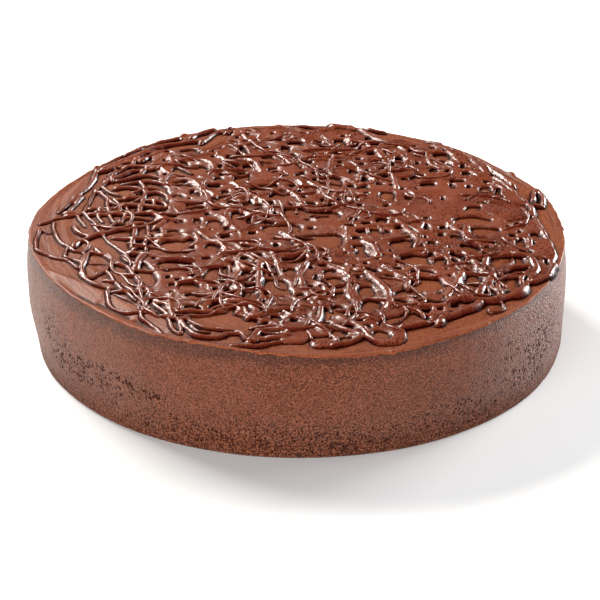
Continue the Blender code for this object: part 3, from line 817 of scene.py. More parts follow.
# holes in the sheet: x, y, half length, half width, and its turn in degrees if it has one
SHEET_HOLES = (
    (9, -9.5, 9.5, 6.5), (23.5, -6.5, 2, 2), (24.5, -15, 2.8, 2.5), (26, -21.5, 3.5, 4, 20),
    (43.5, -12, 6, 5, 15), (38, -18.5, 1.5, 1.3), (47, -27, 6.5, 5, 10), (54, -21.5, 2, 2),
    (53, -29, 1.5, 1.8), (56, -10.5, 2.5, 2.2), (40.3, -35, 1.6, 1.6), (37.5, -43, 2.5, 2.2, -20),
    (43, -51.5, 1, 1.6), (51, -38.5, 5, 2.8, -12), (52, -49, 7, 6), (45, -58, 6, 4.5, -8),
    (12, -38, 3, 2.5, 30), (14, -48.5, 5, 6, 30), (7, -44, 1, 3.5), (23.5, -42.5, 0.9, 2),
    (27, -56, 3.6, 5.5), (1, -27, 3, 4, -50), (10.5, -26.5, 1.8, 1.2, -30), (9.5, -32, 2, 1.2),
    (19, -21.5, 1.2, 1.2), (32, -26.5, 0.9, 1.4), (45, -80, 6.5, 5, 15), (50.5, -74.5, 2.2, 1.6),
    (53, -65.5, 5.5, 2, 3), (41.5, -67.5, 2.2, 2), (28, -69, 4.5, 7, -10), (21, -76, 1.7, 5),
    (15, -73, 4, 4.5, 30), (17, -88, 4.5, 3), (10, -77, 3, 5), (24.5, -82, 2, 1.6),
    (32.5, -94.5, 3.6, 3.6), (36.5, -82.5, 6, 3.3, 40), (14.5, -60, 5, 2, 30),
    (8, -97, 5, 2.2, 15), (17, -98, 3.5, 1.8, 25), (15, -93, 3.5, 2.6), (10, -84.5, 2.5, 1.6),
    (2, -80, 1.4, 3), (1, -62, 2.2, 4.5), (-42, -63, 6, 3.5, -5), (-44, -72, 4, 2.5, -10),
    (-31, -72, 6.5, 3, 5), (-28, -76, 1.8, 2), (-33.5, -68, 2.5, 1.5, 45), (-12, -95, 4.5, 2.4),
    (-12, -101.5, 5, 1.9, 10), (-22, -58, 2.2, 5), (-10, -80.5, 3, 1.8, -30),
    (-3, -82.5, 1.3, 1.8), (-7, -58, 4.5, 4), (-14.5, -66.5, 1.6, 1.6), (-53, -17, 9, 6, 3),
    (-47, -10.5, 2, 2), (-54, -2.5, 4.5, 3), (-52, -35, 7.5, 6, 10), (-34, -42, 6, 8, -10),
    (-37, -16, 3, 3.5, 40), (-33, -21.5, 2, 1.3, 30), (-39.5, -27, 2.2, 1.3, 30),
    (-32, -5, 2, 2.5), (-21, -10.5, 5, 1.7), (-22, -16.3, 4.5, 1.5, -10), (-23, -27, 2, 1),
    (-22.5, -41, 2.5, 2.5), (-21, -53.5, 3, 4), (-12.5, -38, 3.5, 5.5), (-10.5, -52, 5.5, 6.5),
    (-4.5, -39, 3.5, 4), (-5, -21, 3.5, 1.7), (-3, -28, 5, 2.8, -5), (-16.5, -23, 2, 1.3),
    (-20.5, -2.5, 2, 1.6), (-10, -8, 1.6, 1.4), (-11, -22, 1, 1.4), (-50, -47.5, 2, 1.5),
    (-43, -45, 1.5, 2.5), (-53, -52, 1.6, 1.6), (-46, -53.5, 4.5, 3.5), (-30, -56.5, 1.3, 1.5),
    (-56, -64, 2, 2), (-57, -71, 1.5, 2), (-46, -30, 2, 1.5), (-27, -33, 1.2, 2),
    (-26, 54, 3.8, 5), (-51, 44, 4.5, 2.2, 3), (-53, 33.5, 2.5, 2, 30), (-45, 24, 3.8, 5),
    (-46.5, 38, 1.3, 2), (-43, 35.5, 2.5, 2), (-37.5, 45, 2.8, 1.8), (-32.8, 38.5, 1.8, 2.3),
    (-34, 32, 5.5, 2.5, 20), (-29, 28, 2.2, 2), (-23, 25, 2.8, 6), (-27, 14, 2.5, 4.5),
    (-44.5, 8, 1.8, 3), (-36.5, 7, 3.8, 3.8), (-15, 44, 5.5, 3, 25), (-21.5, 41, 1.6, 2.2),
    (-9, 36, 5, 3.5, 15), (-12.5, 27, 2, 2.5), (-2, 19, 5.5, 5.5), (-18.5, 25.5, 1.5, 2),
    (-8, 2.5, 9, 4.5, 3), (-15, 8.7, 4.5, 1.6), (-21.5, 10, 2.2, 3), (-31, 2, 1.3, 2),
    (-14, 15.5, 1.5, 1.5), (-11.5, 18, 1.2, 2), (-35.5, 52, 1.8, 2.2), (-36, 20, 1.8, 1.5),
    (-50, 17.5, 2, 1.3), (-53, 48.5, 3.5, 1.5), (-52, 8, 2.2, 2), (-47, 56, 1.8, 1.5),
    (11.5, 49.5, 7, 5.5), (9, 59, 4, 2.2), (22, 44.5, 2, 3.2), (27, 44, 2.4, 2.6),
    (28.5, 52.5, 2.3, 2.5), (34.6, 47.8, 1, 1.8), (45.5, 54, 1.5, 1.8), (49.8, 55.5, 1.8, 1.8),
    (56, 48, 3.5, 2), (38, 36, 3.8, 4.6), (47, 34, 1.6, 3), (2, 34, 1.3, 1.2), (4, 27.5, 2.6, 2),
    (10, 31.5, 1.3, 1.8), (11.5, 25.5, 4, 2, 35), (9, 15.5, 8, 5.5), (31.5, 17.5, 1.8, 1.3),
    (38.5, 17.5, 1.8, 1), (35, 10.5, 3, 3), (28.3, 8, 2, 1.8), (21.5, 6, 2.5, 1.5),
    (53.7, 13.8, 1.6, 1.6, 40), (53.5, 5, 1.8, 3.6), (31, 0.5, 7.5, 2.5), (16.5, 32.5, 1, 1.5),
    (69.5, 53, 3.5, 2), (66.5, 47.5, 1.8, 2.8), (73.8, 47, 1.2, 1.5), (80.5, 43.5, 2.3, 3.5),
    (86, 41, 1.9, 4), (82.5, 36.8, 1, 1), (87.3, 34.8, 1, 1.2), (61.8, 34.5, 0.9, 2.2),
    (78.5, 30, 2.5, 1), (75, 24, 4, 2.8), (74, 13, 8.5, 2.6), (77.5, 2.5, 7.5, 2.8, 5),
    (61, 4, 1.9, 2.6), (93, 8.5, 1.9, 1.9), (71.3, -14, 4.6, 2.6, -30), (92.8, -9, 2.6, 4.5),
    (98, -9, 1, 2), (94.3, -18, 2.4, 2), (82.5, -12, 1.2, 1.3), (86.8, -9.5, 1.2, 1),
    (86, -28, 7.5, 6), (89, -35, 6.5, 2, 28), (88, -42, 7, 3.6, 8), (86, -49, 5.5, 3, 8),
    (87.5, -56, 6, 3.6, 20), (75.8, -28, 2.2, 1.3, -40), (71, -35, 1.6, 2.2, 45), (71, -46, 4, 7),
    (66, -25, 3.5, 5.5), (58.5, -28, 3, 4), (59, -50, 1.3, 1.5), (66, -50, 1.3, 1.8),
    (57, -56, 1.6, 1.5), (65, -55.5, 1.5, 1.3), (77, -58, 2.2, 4.5), (103, -27, 0.8, 3),
    (62, -69.5, 1.8, 1.6), (56, -71, 2, 1.5), (-12, 93, 4.5, 2.5), (-2, 89.5, 3.5, 3.2),
    (-7, 84, 2.5, 3.5), (-3, 77, 2.2, 3), (-25.5, 85, 1.2, 2.5), (-26, 80, 3, 2.5, -45),
    (-14, 75.5, 2.2, 4), (-12, 62, 2.6, 2.8), (-23.5, 64, 2.6, 4), (-29.5, 66, 2, 1.6),
    (-35, 64, 1.2, 2), (-48.5, 61, 7.5, 5.5, 3), (-34.5, 56.5, 1.3, 1.3), (-22.5, 100.5, 3, 1.2),
    (8, 92.5, 1.8, 1.2), (11.3, 89, 2.2, 2), (18, 89.5, 2.8, 6.5), (25, 88.5, 2, 4.8),
    (31, 80.5, 2, 2.3), (38, 79, 1.3, 1.6), (41.5, 81.5, 1.2, 1.6), (43, 74.5, 2.5, 2.5),
    (17.3, 65.5, 1.6, 1.5), (18, 71, 1.2, 1), (24.5, 60, 2.5, 2.8), (28, 56.5, 1.2, 1.2),
    (10, 62.8, 1.5, 1.2), (33.5, 59.5, 1.2, 1.2), (35, 64, 1.5, 1.5), (37.5, 56, 1.5, 1.3),
    (44, 64.5, 1.5, 1), (52, 58, 2.6, 1.4), (62.5, 76, 4, 5), (64, 83, 1.8, 1.8),
    (59, 87, 1.8, 1), (58.8, 63.5, 1.8, 2), (65, 68, 3.5, 2, -30), (64.5, 63, 2, 1, -25),
    (72, 68, 1, 2), (-30, 75, 3, 2, -20), (3, 71, 2.5, 2), (-52, 68, 3, 1.6), (25, 74, 2, 1.5),
    (33, 90, 1.6, 1.2), (48, 84, 1.8, 1.4), (52, 71, 1.8, 1.4),
)

SEEN_EDGE = 0.6               # the sheet's edge is seen at its foot in front, at its top behind
SHEET_ROOM = 1.6              # how near it may come to the edge of the icing
SHEET_HEIGHT = (1.35, 1.8)    # at the left and at the right
EDGE_STEP = 1.5
HOLE_GROWTH = 1.02
HOLE_SQUARENESS = 2.4         # 2 would make the holes plain ellipses
HOLE_ROOM = (1.15, 1.5)       # a hole changes the grid this many half sizes out, and more
WARP = 0.45                   # how far the edges wander,
WARP_MOST = 4.0 * WARP        # at most,
WARP_SIZE = 2.2               # and over what length
WARP_SEEDS = (1, 2)
POOL = (70.0, 24.0, 34.0, 26.0)    # smooth pool on the right: its middle and half sizes
POOL_EDGE = (0.7, 0.5)        # from which share of those it ends, and over which

SMALL_HOLE_SEED = 3
SMALL_HOLES = 150
SMALL_HOLES_ACROSS = (-62.0, 104.0)
SMALL_HOLES_DEEP = (-102.0, 104.0)
SMALL_HOLES_RADIUS = 101.0    # they lie no farther out than this
SMALL_HOLE_SIZES = (0.7, 1.9)
SMALL_HOLE_LENGTHS = (1.0, 1.6)
SMALL_HOLE_TURNS = (-40.0, 40.0)
SMALL_HOLE_ROOM = 2.0         # from the next hole
CROWDED_HOLES = 0.002         # chance of one that comes nearer than that

warped_x, warped_y = (
    level + WARP * soft_noise(seed, WARP_SIZE)
    for level, seed in zip((grid_x, grid_y), WARP_SEEDS)
)


def sheet_edge():
    """The sheet's outline as it lies, from where it was read."""
    line = eased(SHEET_EDGE, EDGE_STEP, closed=True)
    ahead = np.roll(line, -2, axis=0) - np.roll(line, 2, axis=0)
    way_round = np.sign(np.sum(line[:, 0] * ahead[:, 1] - line[:, 1] * ahead[:, 0]))
    backward = -way_round * ahead[:, 0] / np.hypot(*ahead.T)
    nearer = nearer_by(SEEN_EDGE + SEEN_EDGE * backward)
    moved = zip(line[:, 0], line[:, 1] - nearer)
    return np.array([kept_on(x, y, SHEET_ROOM) for x, y in moved])


def inside(edge):
    """Where the warped grid lies inside a closed curve."""
    result = np.zeros((grid_count, grid_count), bool)
    for (x1, y1), (x2, y2) in zip(edge, np.roll(edge, -1, axis=0)):
        if y1 == y2:
            continue
        rows = cells(min(y1, y2) - WARP_MOST, max(y1, y2) + WARP_MOST)
        x = warped_x[rows]
        y = warped_y[rows]
        crosses = (y1 > y) != (y2 > y)
        result[rows] ^= crosses & (x < (x2 - x1) * (y - y1) / (y2 - y1) + x1)
    return result


def cut_hole(cover, x, y, half_length, half_width, degrees=0.0):
    """Takes one rounded hole out of the sheet."""
    where = window(x, y, HOLE_ROOM[0] * max(half_length, half_width) + HOLE_ROOM[1])
    turn = math.radians(degrees)
    east = warped_x[where] - x
    north = warped_y[where] - y
    along = np.abs(east * math.cos(turn) + north * math.sin(turn)) / half_length
    across = np.abs(north * math.cos(turn) - east * math.sin(turn)) / half_width
    reach = (along ** HOLE_SQUARENESS + across ** HOLE_SQUARENESS) ** (1.0 / HOLE_SQUARENESS)
    left = np.clip(0.5 + (reach - 1.0) * min(half_length, half_width) / PITCH, 0.0, 1.0)
    cover[where] = np.minimum(cover[where], left)


def in_pool(x, y):
    """1 in the middle of the smooth pool on the right, 0 well outside it."""
    away = np.hypot((x - POOL[0]) / POOL[2], (y - POOL[1]) / POOL[3])
    return 1.0 - smooth_ramp((away - POOL_EDGE[0]) / POOL_EDGE[1])


def small_holes(listed):
    """Small round holes, scattered where the listed ones leave room."""
    draw = random.Random(SMALL_HOLE_SEED)
    taken = [(x, y, max(shape[:2])) for x, y, *shape in listed]
    holes = []
    while len(holes) < SMALL_HOLES:
        x = draw.uniform(*SMALL_HOLES_ACROSS)
        y = draw.uniform(*SMALL_HOLES_DEEP)
        size = draw.uniform(*SMALL_HOLE_SIZES)
        if math.hypot(x, y) > SMALL_HOLES_RADIUS or in_pool(x, y) > draw.random():
            continue
        near = min(math.hypot(x - other[0], y - other[1]) - other[2] for other in taken)
        if near < size + SMALL_HOLE_ROOM and draw.random() > CROWDED_HOLES:
            continue
        taken.append((x, y, size))
        length = size * draw.uniform(*SMALL_HOLE_LENGTHS)
        holes.append((x, y, length, size, draw.uniform(*SMALL_HOLE_TURNS)))
    return holes


def sheet_cover():
    """1 where the sheet covers the grid, 0 outside it and in its holes."""
    cover = inside(sheet_edge()).astype(float)
    nearer = nearer_by(SHEET_HEIGHT[1])
    listed = [(x, y - nearer, *shape) for x, y, *shape in SHEET_HOLES]
    for x, y, half_length, half_width, *turn in listed:
        cut_hole(cover, x, y, HOLE_GROWTH * half_length, HOLE_GROWTH * half_width, *turn)
    for hole in small_holes(listed):
        cut_hole(cover, *hole)
    return cover


# strands that aren't along the back rim: half width, then points of the middle line
STRANDS = (
    (0.8, (-110, -3), (-111, -10), (-111, -18), (-110, -23), (-106, -27), (-102, -30),
     (-98, -32), (-94, -36), (-92, -40)),
    (0.7, (-98, -29), (-94, -32), (-91, -35)),
    (0.7, (-110, -3), (-107, -6), (-105, -7)),
    (0.8, (-105, 4), (-104, -5), (-102, -12), (-100, -17), (-97, -20), (-98, -24), (-98, -29)),
    (0.8, (-97, -20), (-94, -24), (-91, -25), (-90, -28), (-91, -36), (-90, -42), (-91, -46)),
    (1, (-96, 2), (-95, -4), (-92, -8), (-88, -11)),
    (1.3, (-95, -20), (-93, -15), (-89, -11), (-84, -7), (-77, -3), (-72, 1), (-66, 4)),
    (0.7, (-88, 0), (-84, -7), (-82, -12), (-78, -19), (-74, -25), (-71, -31), (-68, -38)),
    (1, (-86, -20), (-88, -25), (-89, -30), (-90, -36), (-90, -42), (-89, -47), (-86, -48.5),
     (-83, -45), (-80, -40), (-77, -34)),
    (1, (-86, -21), (-83, -26), (-79, -31), (-76, -34), (-73, -37)),
    (1.2, (-76, -35), (-72, -38), (-70, -42), (-68, -47), (-66, -52), (-64, -57)),
    (0.6, (-87, -36), (-84, -35.5), (-81, -36)),
    (0.9, (-80, -42), (-78, -47), (-76, -52), (-74, -57), (-71, -62)),
    (0.9, (-90, -47), (-88, -50), (-85, -54), (-80, -57), (-76, -59)),
    (1.3, (-71, 4), (-70, -5), (-70.5, -12), (-70.5, -21)),
    (0.9, (-65, 2), (-64, -8), (-65, -15), (-64.5, -23)),
    (0.8, (-64, -13), (-67, -18), (-70, -23)),
    (1.3, (-79, -11), (-70, -12), (-62, -11), (-54, -11)),
    (1.3, (-64, -6), (-58, -7), (-52, -6), (-46, -3)),
    (2.1, (-72, -25), (-64, -26), (-58, -27), (-50, -28), (-44, -30)),
    (2, (-65, -27), (-67, -32), (-68, -37), (-68, -41)),
    (1, (-67, -42), (-60, -41), (-55, -40)),
    (0.7, (-61, -35), (-58, -38)),
    (0.9, (-74, -28), (-72, -33), (-69, -36)),
    (0.8, (-78, -58), (-78.5, -65), (-77.5, -71), (-75, -76), (-70, -79), (-64, -79.5),
     (-58, -79)),
    (1.1, (-77, -61), (-70, -61), (-62, -60)),
    (0.7, (-76, -64), (-70, -69), (-65, -74), (-60, -78)),
    (0.7, (-72, -59), (-69, -65), (-66, -69)),
    (0.9, (-62, -66), (-63, -73), (-64, -80), (-63, -85), (-60, -89), (-57, -93), (-55, -97)),
    (1.2, (-67, -58), (-62, -58), (-61, -64)),
    (1, (-60, -70), (-57, -75), (-55, -79), (-52, -83)),
    (1.3, (-52, -60), (-53, -68), (-52, -76), (-51, -84)),
    (0.9, (-50, -61), (-47, -65), (-44, -69), (-41, -72), (-38, -76)),
    (1.4, (-56, -82), (-50, -84.5), (-45, -84)),
    (0.8, (-53, -85), (-52, -90), (-50, -95), (-48, -98)),
    (0.7, (-49, -85), (-48, -91), (-47, -97)),
    (1, (-46, -83), (-43, -88), (-38, -92), (-31, -94), (-25, -95), (-22, -100), (-21, -103)),
    (1.2, (-48, -86), (-45, -93), (-42, -98), (-38, -100), (-33, -100.5), (-29, -97.5),
     (-24, -97)),
    (0.7, (-44, -90), (-41, -95), (-36, -96)),
    (1.2, (-90, 58), (-90, 50), (-91, 45), (-92, 40), (-95, 34), (-97, 28), (-99, 22)),
    (1, (-97, 30), (-99, 24), (-102, 17), (-104, 13)),
    (0.9, (-94, 30), (-96, 24), (-98, 18), (-99, 14)),
    (1.8, (-101, 12), (-96, 13)),
    (0.8, (-111, 2), (-107, 5), (-103, 8), (-98, 10), (-94, 12), (-92, 17), (-91, 24), (-90, 30),
     (-88, 36)),
    (1.2, (-89, 35), (-87, 41), (-84, 45), (-80, 50), (-76, 54), (-73, 58)),
    (1, (-87, 35), (-84, 29), (-81, 24), (-78, 21)),
    (0.9, (-87, 41), (-84, 36), (-81, 33), (-78, 31)),
    (1.3, (-81, 37.5), (-78, 39.5), (-72, 39), (-68, 36.5), (-67.5, 32), (-68, 26), (-68.5, 20),
     (-69, 13)),
    (1.3, (-80, 26), (-75, 28.5), (-69, 29)),
    (1.4, (-80, 18), (-75, 21), (-70, 21.5), (-64, 20), (-58, 20)),
    (1.2, (-91, 17), (-85, 18), (-80, 17.5)),
    (0.9, (-83, 28), (-83, 22), (-82, 15), (-81, 9), (-79, 4), (-75, 3)),
    (1.3, (-91, 12), (-84, 12), (-80, 13), (-74, 12), (-69, 13), (-63, 14)),
    (0.7, (-93, 14), (-90, 8), (-87, 2), (-86, -2)),
    (0.7, (-95, 10), (-93, 4), (-91, -1)),
    (1.4, (-67, 33), (-62, 35), (-58, 32), (-57, 28)),
    (1.2, (-67, 26), (-60, 25), (-57, 21)),
    (1.8, (-65, 15), (-60, 12), (-58, 8), (-60, 3), (-62, -1)),
    (1.2, (-73, 50), (-66, 52), (-60, 51), (-54, 53)),
    (1.2, (-81, 46), (-75, 48), (-71, 52), (-68, 58)),
    (1.3, (-78, 43), (-70, 45), (-64, 46), (-58, 44)),
    (1.2, (-70, 45), (-68, 40), (-66, 35)),
    (0.9, (-86, 45), (-82, 51), (-81, 58)),
    (1.3, (-88, 57), (-84, 61), (-80, 65), (-76, 69), (-72, 73), (-68, 78), (-62, 82)),
    (1.1, (-71, 66), (-67, 73), (-62, 78)),
    (1, (-68, 59), (-65, 66), (-62, 72), (-61, 78)),
    (1.3, (-80, 60), (-73, 62), (-66, 61), (-60, 64), (-56, 67)),
    (1, (-58, 76), (-57, 70), (-56, 62)),
    (0.9, (-77, 55), (-70, 57), (-64, 60)),
    (0.9, (-84, 52), (-78, 58), (-74, 64), (-72, 70)),
    (1, (-72, 34), (-73, 30), (-76, 27)),
    (1, (-76, 8), (-70, 9), (-64, 7)),
    (0.8, (-87, 20), (-86, 15), (-86, 9), (-84, 4)),
    (0.9, (-75, 20), (-74, 15), (-75, 9), (-77, 4)),
    (1.1, (-62, 30), (-63, 24), (-61, 18)),
    (1.6, (-58, 68), (-54, 70), (-48, 72), (-43, 71), (-39, 67), (-38, 61), (-40, 56)),
    (1.4, (-58, 75), (-50, 75), (-44, 76), (-38, 78)),
    (1.2, (-41, 79), (-36, 85), (-32, 88), (-27, 88), (-24, 84), (-22, 78)),
    (1.1, (-37, 77), (-34, 83), (-31, 83), (-27, 78), (-23, 75)),
    (1.3, (-37, 75), (-34, 72), (-33, 66), (-34, 60)),
    (1.6, (-28, 71), (-24, 72), (-20, 69), (-18, 64), (-17, 59)),
    (1.1, (-26, 99), (-24, 95), (-21, 91), (-20, 88), (-19, 82)),
    (1.2, (-27, 101), (-24, 104), (-20, 103), (-18, 100), (-19, 96)),
    (0.9, (-10, 79), (-8, 72), (-7, 66)),
    (0.8, (-54, 62), (-51, 58), (-47, 55)),
    (1.5, (-45, -3), (-43, -9), (-43, -13), (-46, -17)),
    (1.5, (-37, -9), (-33, -14), (-31, -19), (-31, -22), (-34, -25)),
    (1.8, (-32, -28), (-26, -31), (-23, -36), (-21, -38)),
    (1.4, (-17, -29), (-17, -40), (-17, -50), (-17, -59)),
    (1, (-14, -30), (-9, -29), (-9, -36), (-8, -42), (-5, -44)),
    (1.8, (-9, -2), (-5, -6), (-3, -10), (-1, -14)),
    (1.6, (-2, -15), (2, -16), (3, -19), (3, -24), (4, -28), (3, -32), (1, -38), (0, -44),
     (1, -52)),
    (1.3, (-36, 14), (-33, 12), (-31, 8), (-30, 3)),
    (1.1, (-34, 26), (-29, 22), (-26, 21), (-25, 16)),
    (0.7, (-28, 33), (-26, 28), (-26, 24)),
    (1.1, (-19, 17), (-20, 10), (-20, 4), (-22, 0)),
    (0.8, (-17, 37), (-18, 33), (-20, 28)),
    (1.5, (-42, 44), (-43, 38), (-42, 32)),
    (0.6, (-33, -34), (-33, -40), (-32, -48)),
    (0.6, (-29, -36), (-29, -42), (-30, -48)),
    (1.3, (-26, -18), (-20, -19.5), (-15, -17), (-12, -13)),
    (1, (-27, -12.5), (-21, -13), (-15, -12)),
    (1.3, (-50, -77), (-42, -77.5), (-35, -78), (-30, -77)),
    (1, (-36, -75), (-31, -73), (-27, -71.5), (-24, -75), (-26, -79)),
    (1.5, (-50, -66), (-42, -67.5), (-37, -65), (-32, -61)),
    (2.3, (-31, -66), (-24, -67), (-20, -70), (-18, -76), (-21, -82)),
    (1.2, (-46, -46), (-42, -51), (-38, -53), (-37, -57)),
    (1.5, (-20, -104), (-18, -97), (-15, -92), (-9, -90.5), (-5, -93), (-7, -98), (-14, -99)),
    (0.9, (-28, -107), (-20, -107), (-12, -106), (-7, -103), (0, -100.5)),
    (1.8, (-20, -81), (-16, -79), (-12, -75), (-5, -73), (3, -73)),
    (1, (20, 3), (20, -5), (20, -12), (19, -18), (21, -24)),
    (1.8, (26, -9), (30, -14), (32, -20), (33, -25)),
    (1.3, (12, -30), (18, -31), (20, -34), (19, -41), (21, -46), (20, -52), (20, -60), (21, -66)),
    (2.2, (23, -36), (28, -40), (30, -45), (33, -50), (35, -56), (36, -62), (36, -72)),
    (1.8, (41, 11), (44, 5), (46, 0), (48, -4), (50, -10), (48, -16)),
    (1.1, (31, 16), (36, 17), (39, 14), (39, 10), (37, 8)),
    (0.7, (26, 6), (28, 1), (29, -3)),
    (0.8, (32, 7), (34, 3), (35, -2)),
    (1.3, (-12, 12), (-3, 12), (3, 11), (8, 8)),
    (1.4, (3, 49), (8, 42), (9, 37)),
    (1.2, (-1, 51), (1, 46), (1, 40)),
    (1.3, (15, 41), (20, 38), (19, 33)),
    (1.2, (24, 39), (27, 35), (26, 30)),
    (1.2, (25, 50), (27, 56), (31, 56), (33, 51), (30, 47), (26, 47.5)),
    (1, (47, 41), (50, 36), (49, 30), (47, 25)),
    (0.9, (42, 40), (42, 33), (42, 29)),
    (0.9, (60, -19), (62, -26), (62, -32)),
    (1.2, (65, -17), (69, -21), (70, -25), (69, -31)),
    (1.2, (70, -9), (75, -12), (77, -17)),
    (0.7, (63, -25), (67, -30), (67, -36), (65, -41)),
    (1, (89, -26), (88, -31), (84, -35), (80, -36)),
    (1.4, (96, -31), (89, -35), (83, -38.5)),
    (1.1, (93, -40), (91.5, -45), (91, -51)),
    (1.8, (96, -24), (98, -31), (97, -38), (94, -46)),
    (1.6, (95, -47), (100, -44), (104, -39), (106, -31)),
    (2, (80, -38), (78, -47), (75, -53), (72, -58)),
    (1.2, (80, -41), (86, -44), (92, -43)),
    (2.2, (55, -87), (58, -80), (64, -76), (71, -70), (74, -66)),
    (2.2, (60, -64), (66, -63), (72, -64), (78, -65), (84, -62), (90, -58), (93, -51)),
    (1.3, (15, -80), (18, -83), (22, -86), (25, -91), (28, -98), (31, -102.5)),
    (1, (5, -66), (6, -72), (5, -78), (5, -84)),
    (1.2, (8, -66), (8.5, -75), (7, -85), (6, -90)),
    (1.3, (22, -60), (22, -68), (20, -74), (18.5, -80)),
    (0.6, (24, -70), (25, -77)),
    (0.6, (11, -71), (13, -77.5)),
    (1, (23, -80), (26, -78), (28, -80.5), (25.5, -84)),
    (0.7, (1, -70), (5, -66)),
    (1.1, (47.5, -74), (49, -78), (52, -78.5), (54, -75), (54, -70)),
    (0.8, (54, -79), (53, -86)),
    (1.1, (45, -43), (50, -42), (57, -43)),
    (1.4, (47, -34), (55, -35)),
    (1.2, (28, 103), (33, 99), (36, 94), (40, 92.5), (46, 92), (53, 89)),
    (1.1, (66, 82), (69, 75), (71, 70)),
    (1.2, (75, 75), (79, 67), (82, 59)),
    (1, (72, 63), (76, 60), (79, 56)),
    (1.1, (61, 72), (66, 71), (69, 68)),
    (1.1, (82, 49), (86, 47.5), (88.5, 43), (88, 38)),
    (0.9, (78.5, 29), (79, 25), (78, 20)),
    (1.2, (97, -4), (97, -9), (96.5, -15)),
    (1.1, (85, 55), (89, 48.5), (92, 42.5), (94.5, 36), (97.5, 30), (99, 24), (100, 18),
     (101.5, 8), (103, 0), (105, -8), (106.5, -18)),
    (1, (22, 98), (22.5, 92), (22, 86)),
    (1.1, (9, 99), (12, 95), (14, 90)),
    (1.3, (-8, 96), (-3, 96.5), (1, 94), (3, 90)),
    (1.4, (-2, 84.5), (3, 84), (6, 81.5)),
    (1.1, (44, 88), (47, 83), (47, 78)),
    (1.1, (47, 79), (49, 75), (47, 71)),
    (1.1, (14, 74), (18, 75), (24, 73)),
    (1.6, (40, -89), (46, -88), (52, -85)),
    (1.3, (14, -88), (20, -93), (24, -96), (20, -102), (12, -105)),
    (1.1, (16, 40), (15, 33), (16, 25), (19, 22)),
)

# scraps of ganache that lie off the web, at the right
SCRAPS = (
    (1.1, (101, 29), (101.5, 35), (103, 41), (105.5, 38), (105.5, 31), (105, 26)),
    (1.2, (100, 26), (105, 25)),
    (0.6, (81, -66), (82.5, -70), (82, -73), (79, -75), (76.5, -74.5)),
    (0.6, (76.5, -74), (77.5, -77)),
)

# the strands along the back rim, of which the points are given as they lie
BACK_STRANDS = (
    (1.3, (-89, 56), (-83.5, 60), (-78, 66), (-72, 73), (-66, 80.5), (-60, 85.5), (-53.5, 88.5),
     (-47, 90.5), (-43, 90.5)),
    (1.1, (-45, 87.5), (-41.5, 94.5), (-38, 100), (-35, 102)),
    (1.2, (-44.5, 79), (-40.5, 83), (-36, 87), (-32, 92.5), (-27.5, 98), (-24, 100.5), (-19, 100)),
    (1.0, (-24, 100.5), (-18.5, 97.5), (-12, 97), (-7, 95.5)),
    (1.3, (-34, 99.5), (-29.5, 103.5), (-24.5, 105), (-18.5, 105), (-12, 105.5), (-7, 105.5),
     (-2.5, 104.5), (2.5, 103), (8, 102), (13.5, 103.5), (16.5, 106.5), (20, 106)),
    (1.0, (-69, 76), (-64, 78.5), (-59.5, 80.5), (-56, 78.5), (-53.5, 81), (-48, 82.5),
     (-44.5, 81)),
    (0.9, (-82.5, 64.5), (-76, 66.5), (-70, 71), (-64.5, 75)),
    (1.5, (8, 102), (13, 104), (15, 107), (19.5, 106.5), (23.5, 105.5), (27, 104), (30.5, 99.5)),
    (1.1, (22.5, 97), (26, 101), (29, 100.5), (33.5, 95.5), (38.5, 91), (45, 90), (51.5, 88),
     (54.5, 88.5)),
    (1.1, (54.5, 88), (59.5, 88), (64, 85), (67.5, 80), (70, 74)),
    (1.3, (61.5, 88), (70, 82), (76.5, 76), (82, 69), (84.5, 61.5), (89, 53.5), (93.5, 44.5)),
    (1.0, (70.5, 68.5), (73, 72.5), (77.5, 71), (81, 65), (83, 57.5), (78, 59), (74, 63)),
    (0.9, (52.5, 82.5), (56, 78.5), (59, 74), (61, 67.5), (65.5, 64.5), (68.5, 66)),
    (1.2, (-6, 107), (0, 107.5), (4, 107), (8, 105.5), (13, 104.5)),
    (1.6, (-78, 75), (-73, 80.5), (-67, 86), (-60, 91), (-54, 94.5)),
    (1.3, (-72, 80), (-69, 84.5)),
    (1.5, (-50, 93), (-46, 98.5), (-42, 102), (-38, 104)),
    (1.1, (-33, 105), (-31, 107)),
    (1.2, (-90, 57), (-88.5, 60)),
    (1.6, (12, 109), (16, 109.5), (20, 109.5), (25, 108)),
    (1.3, (15, 107), (15.5, 109.5)),
    (1.3, (22, 106), (23, 109)),
    (1.3, (30, 106), (35, 104), (39, 102.5)),
    (1.4, (57, 93), (61, 90.5), (64, 88.5)),
)

ON_SHEET = 1.35               # how high a strand lies that runs over the sheet
SHEET_BLUR = 2.0              # over which distance it climbs on to it
SEEN_SHARE = 0.32             # a strand is seen this share of its half width above its base
RIM_ROOM = 0.7                # it keeps this share of that off the edge of the icing,
FRONT_ROOM = 0.4              # and this much more,
BACK_ROOM = 0.3               # or this much along the back rim


def moved_nearer(rows, cover):
    """Strands as they lie, from where they were read: one on the sheet stands higher."""
    sheet = blurred(cover, SHEET_BLUR)
    moved = []
    for half_width, *points in rows:
        height = [ON_SHEET * sheet[cell_at(x, y)] + SEEN_SHARE * half_width for x, y in points]
        nearer = [(x, y - nearer_by(seen)) for (x, y), seen in zip(points, height)]
        moved.append((half_width, *nearer))
    return moved


def drawn_in(rows, room):
    """Strands that keep room to the icing's edge."""
    return [
        (half_width, *[kept_on(x, y, RIM_ROOM * half_width + room) for x, y in points])
        for half_width, *points in rows
    ]


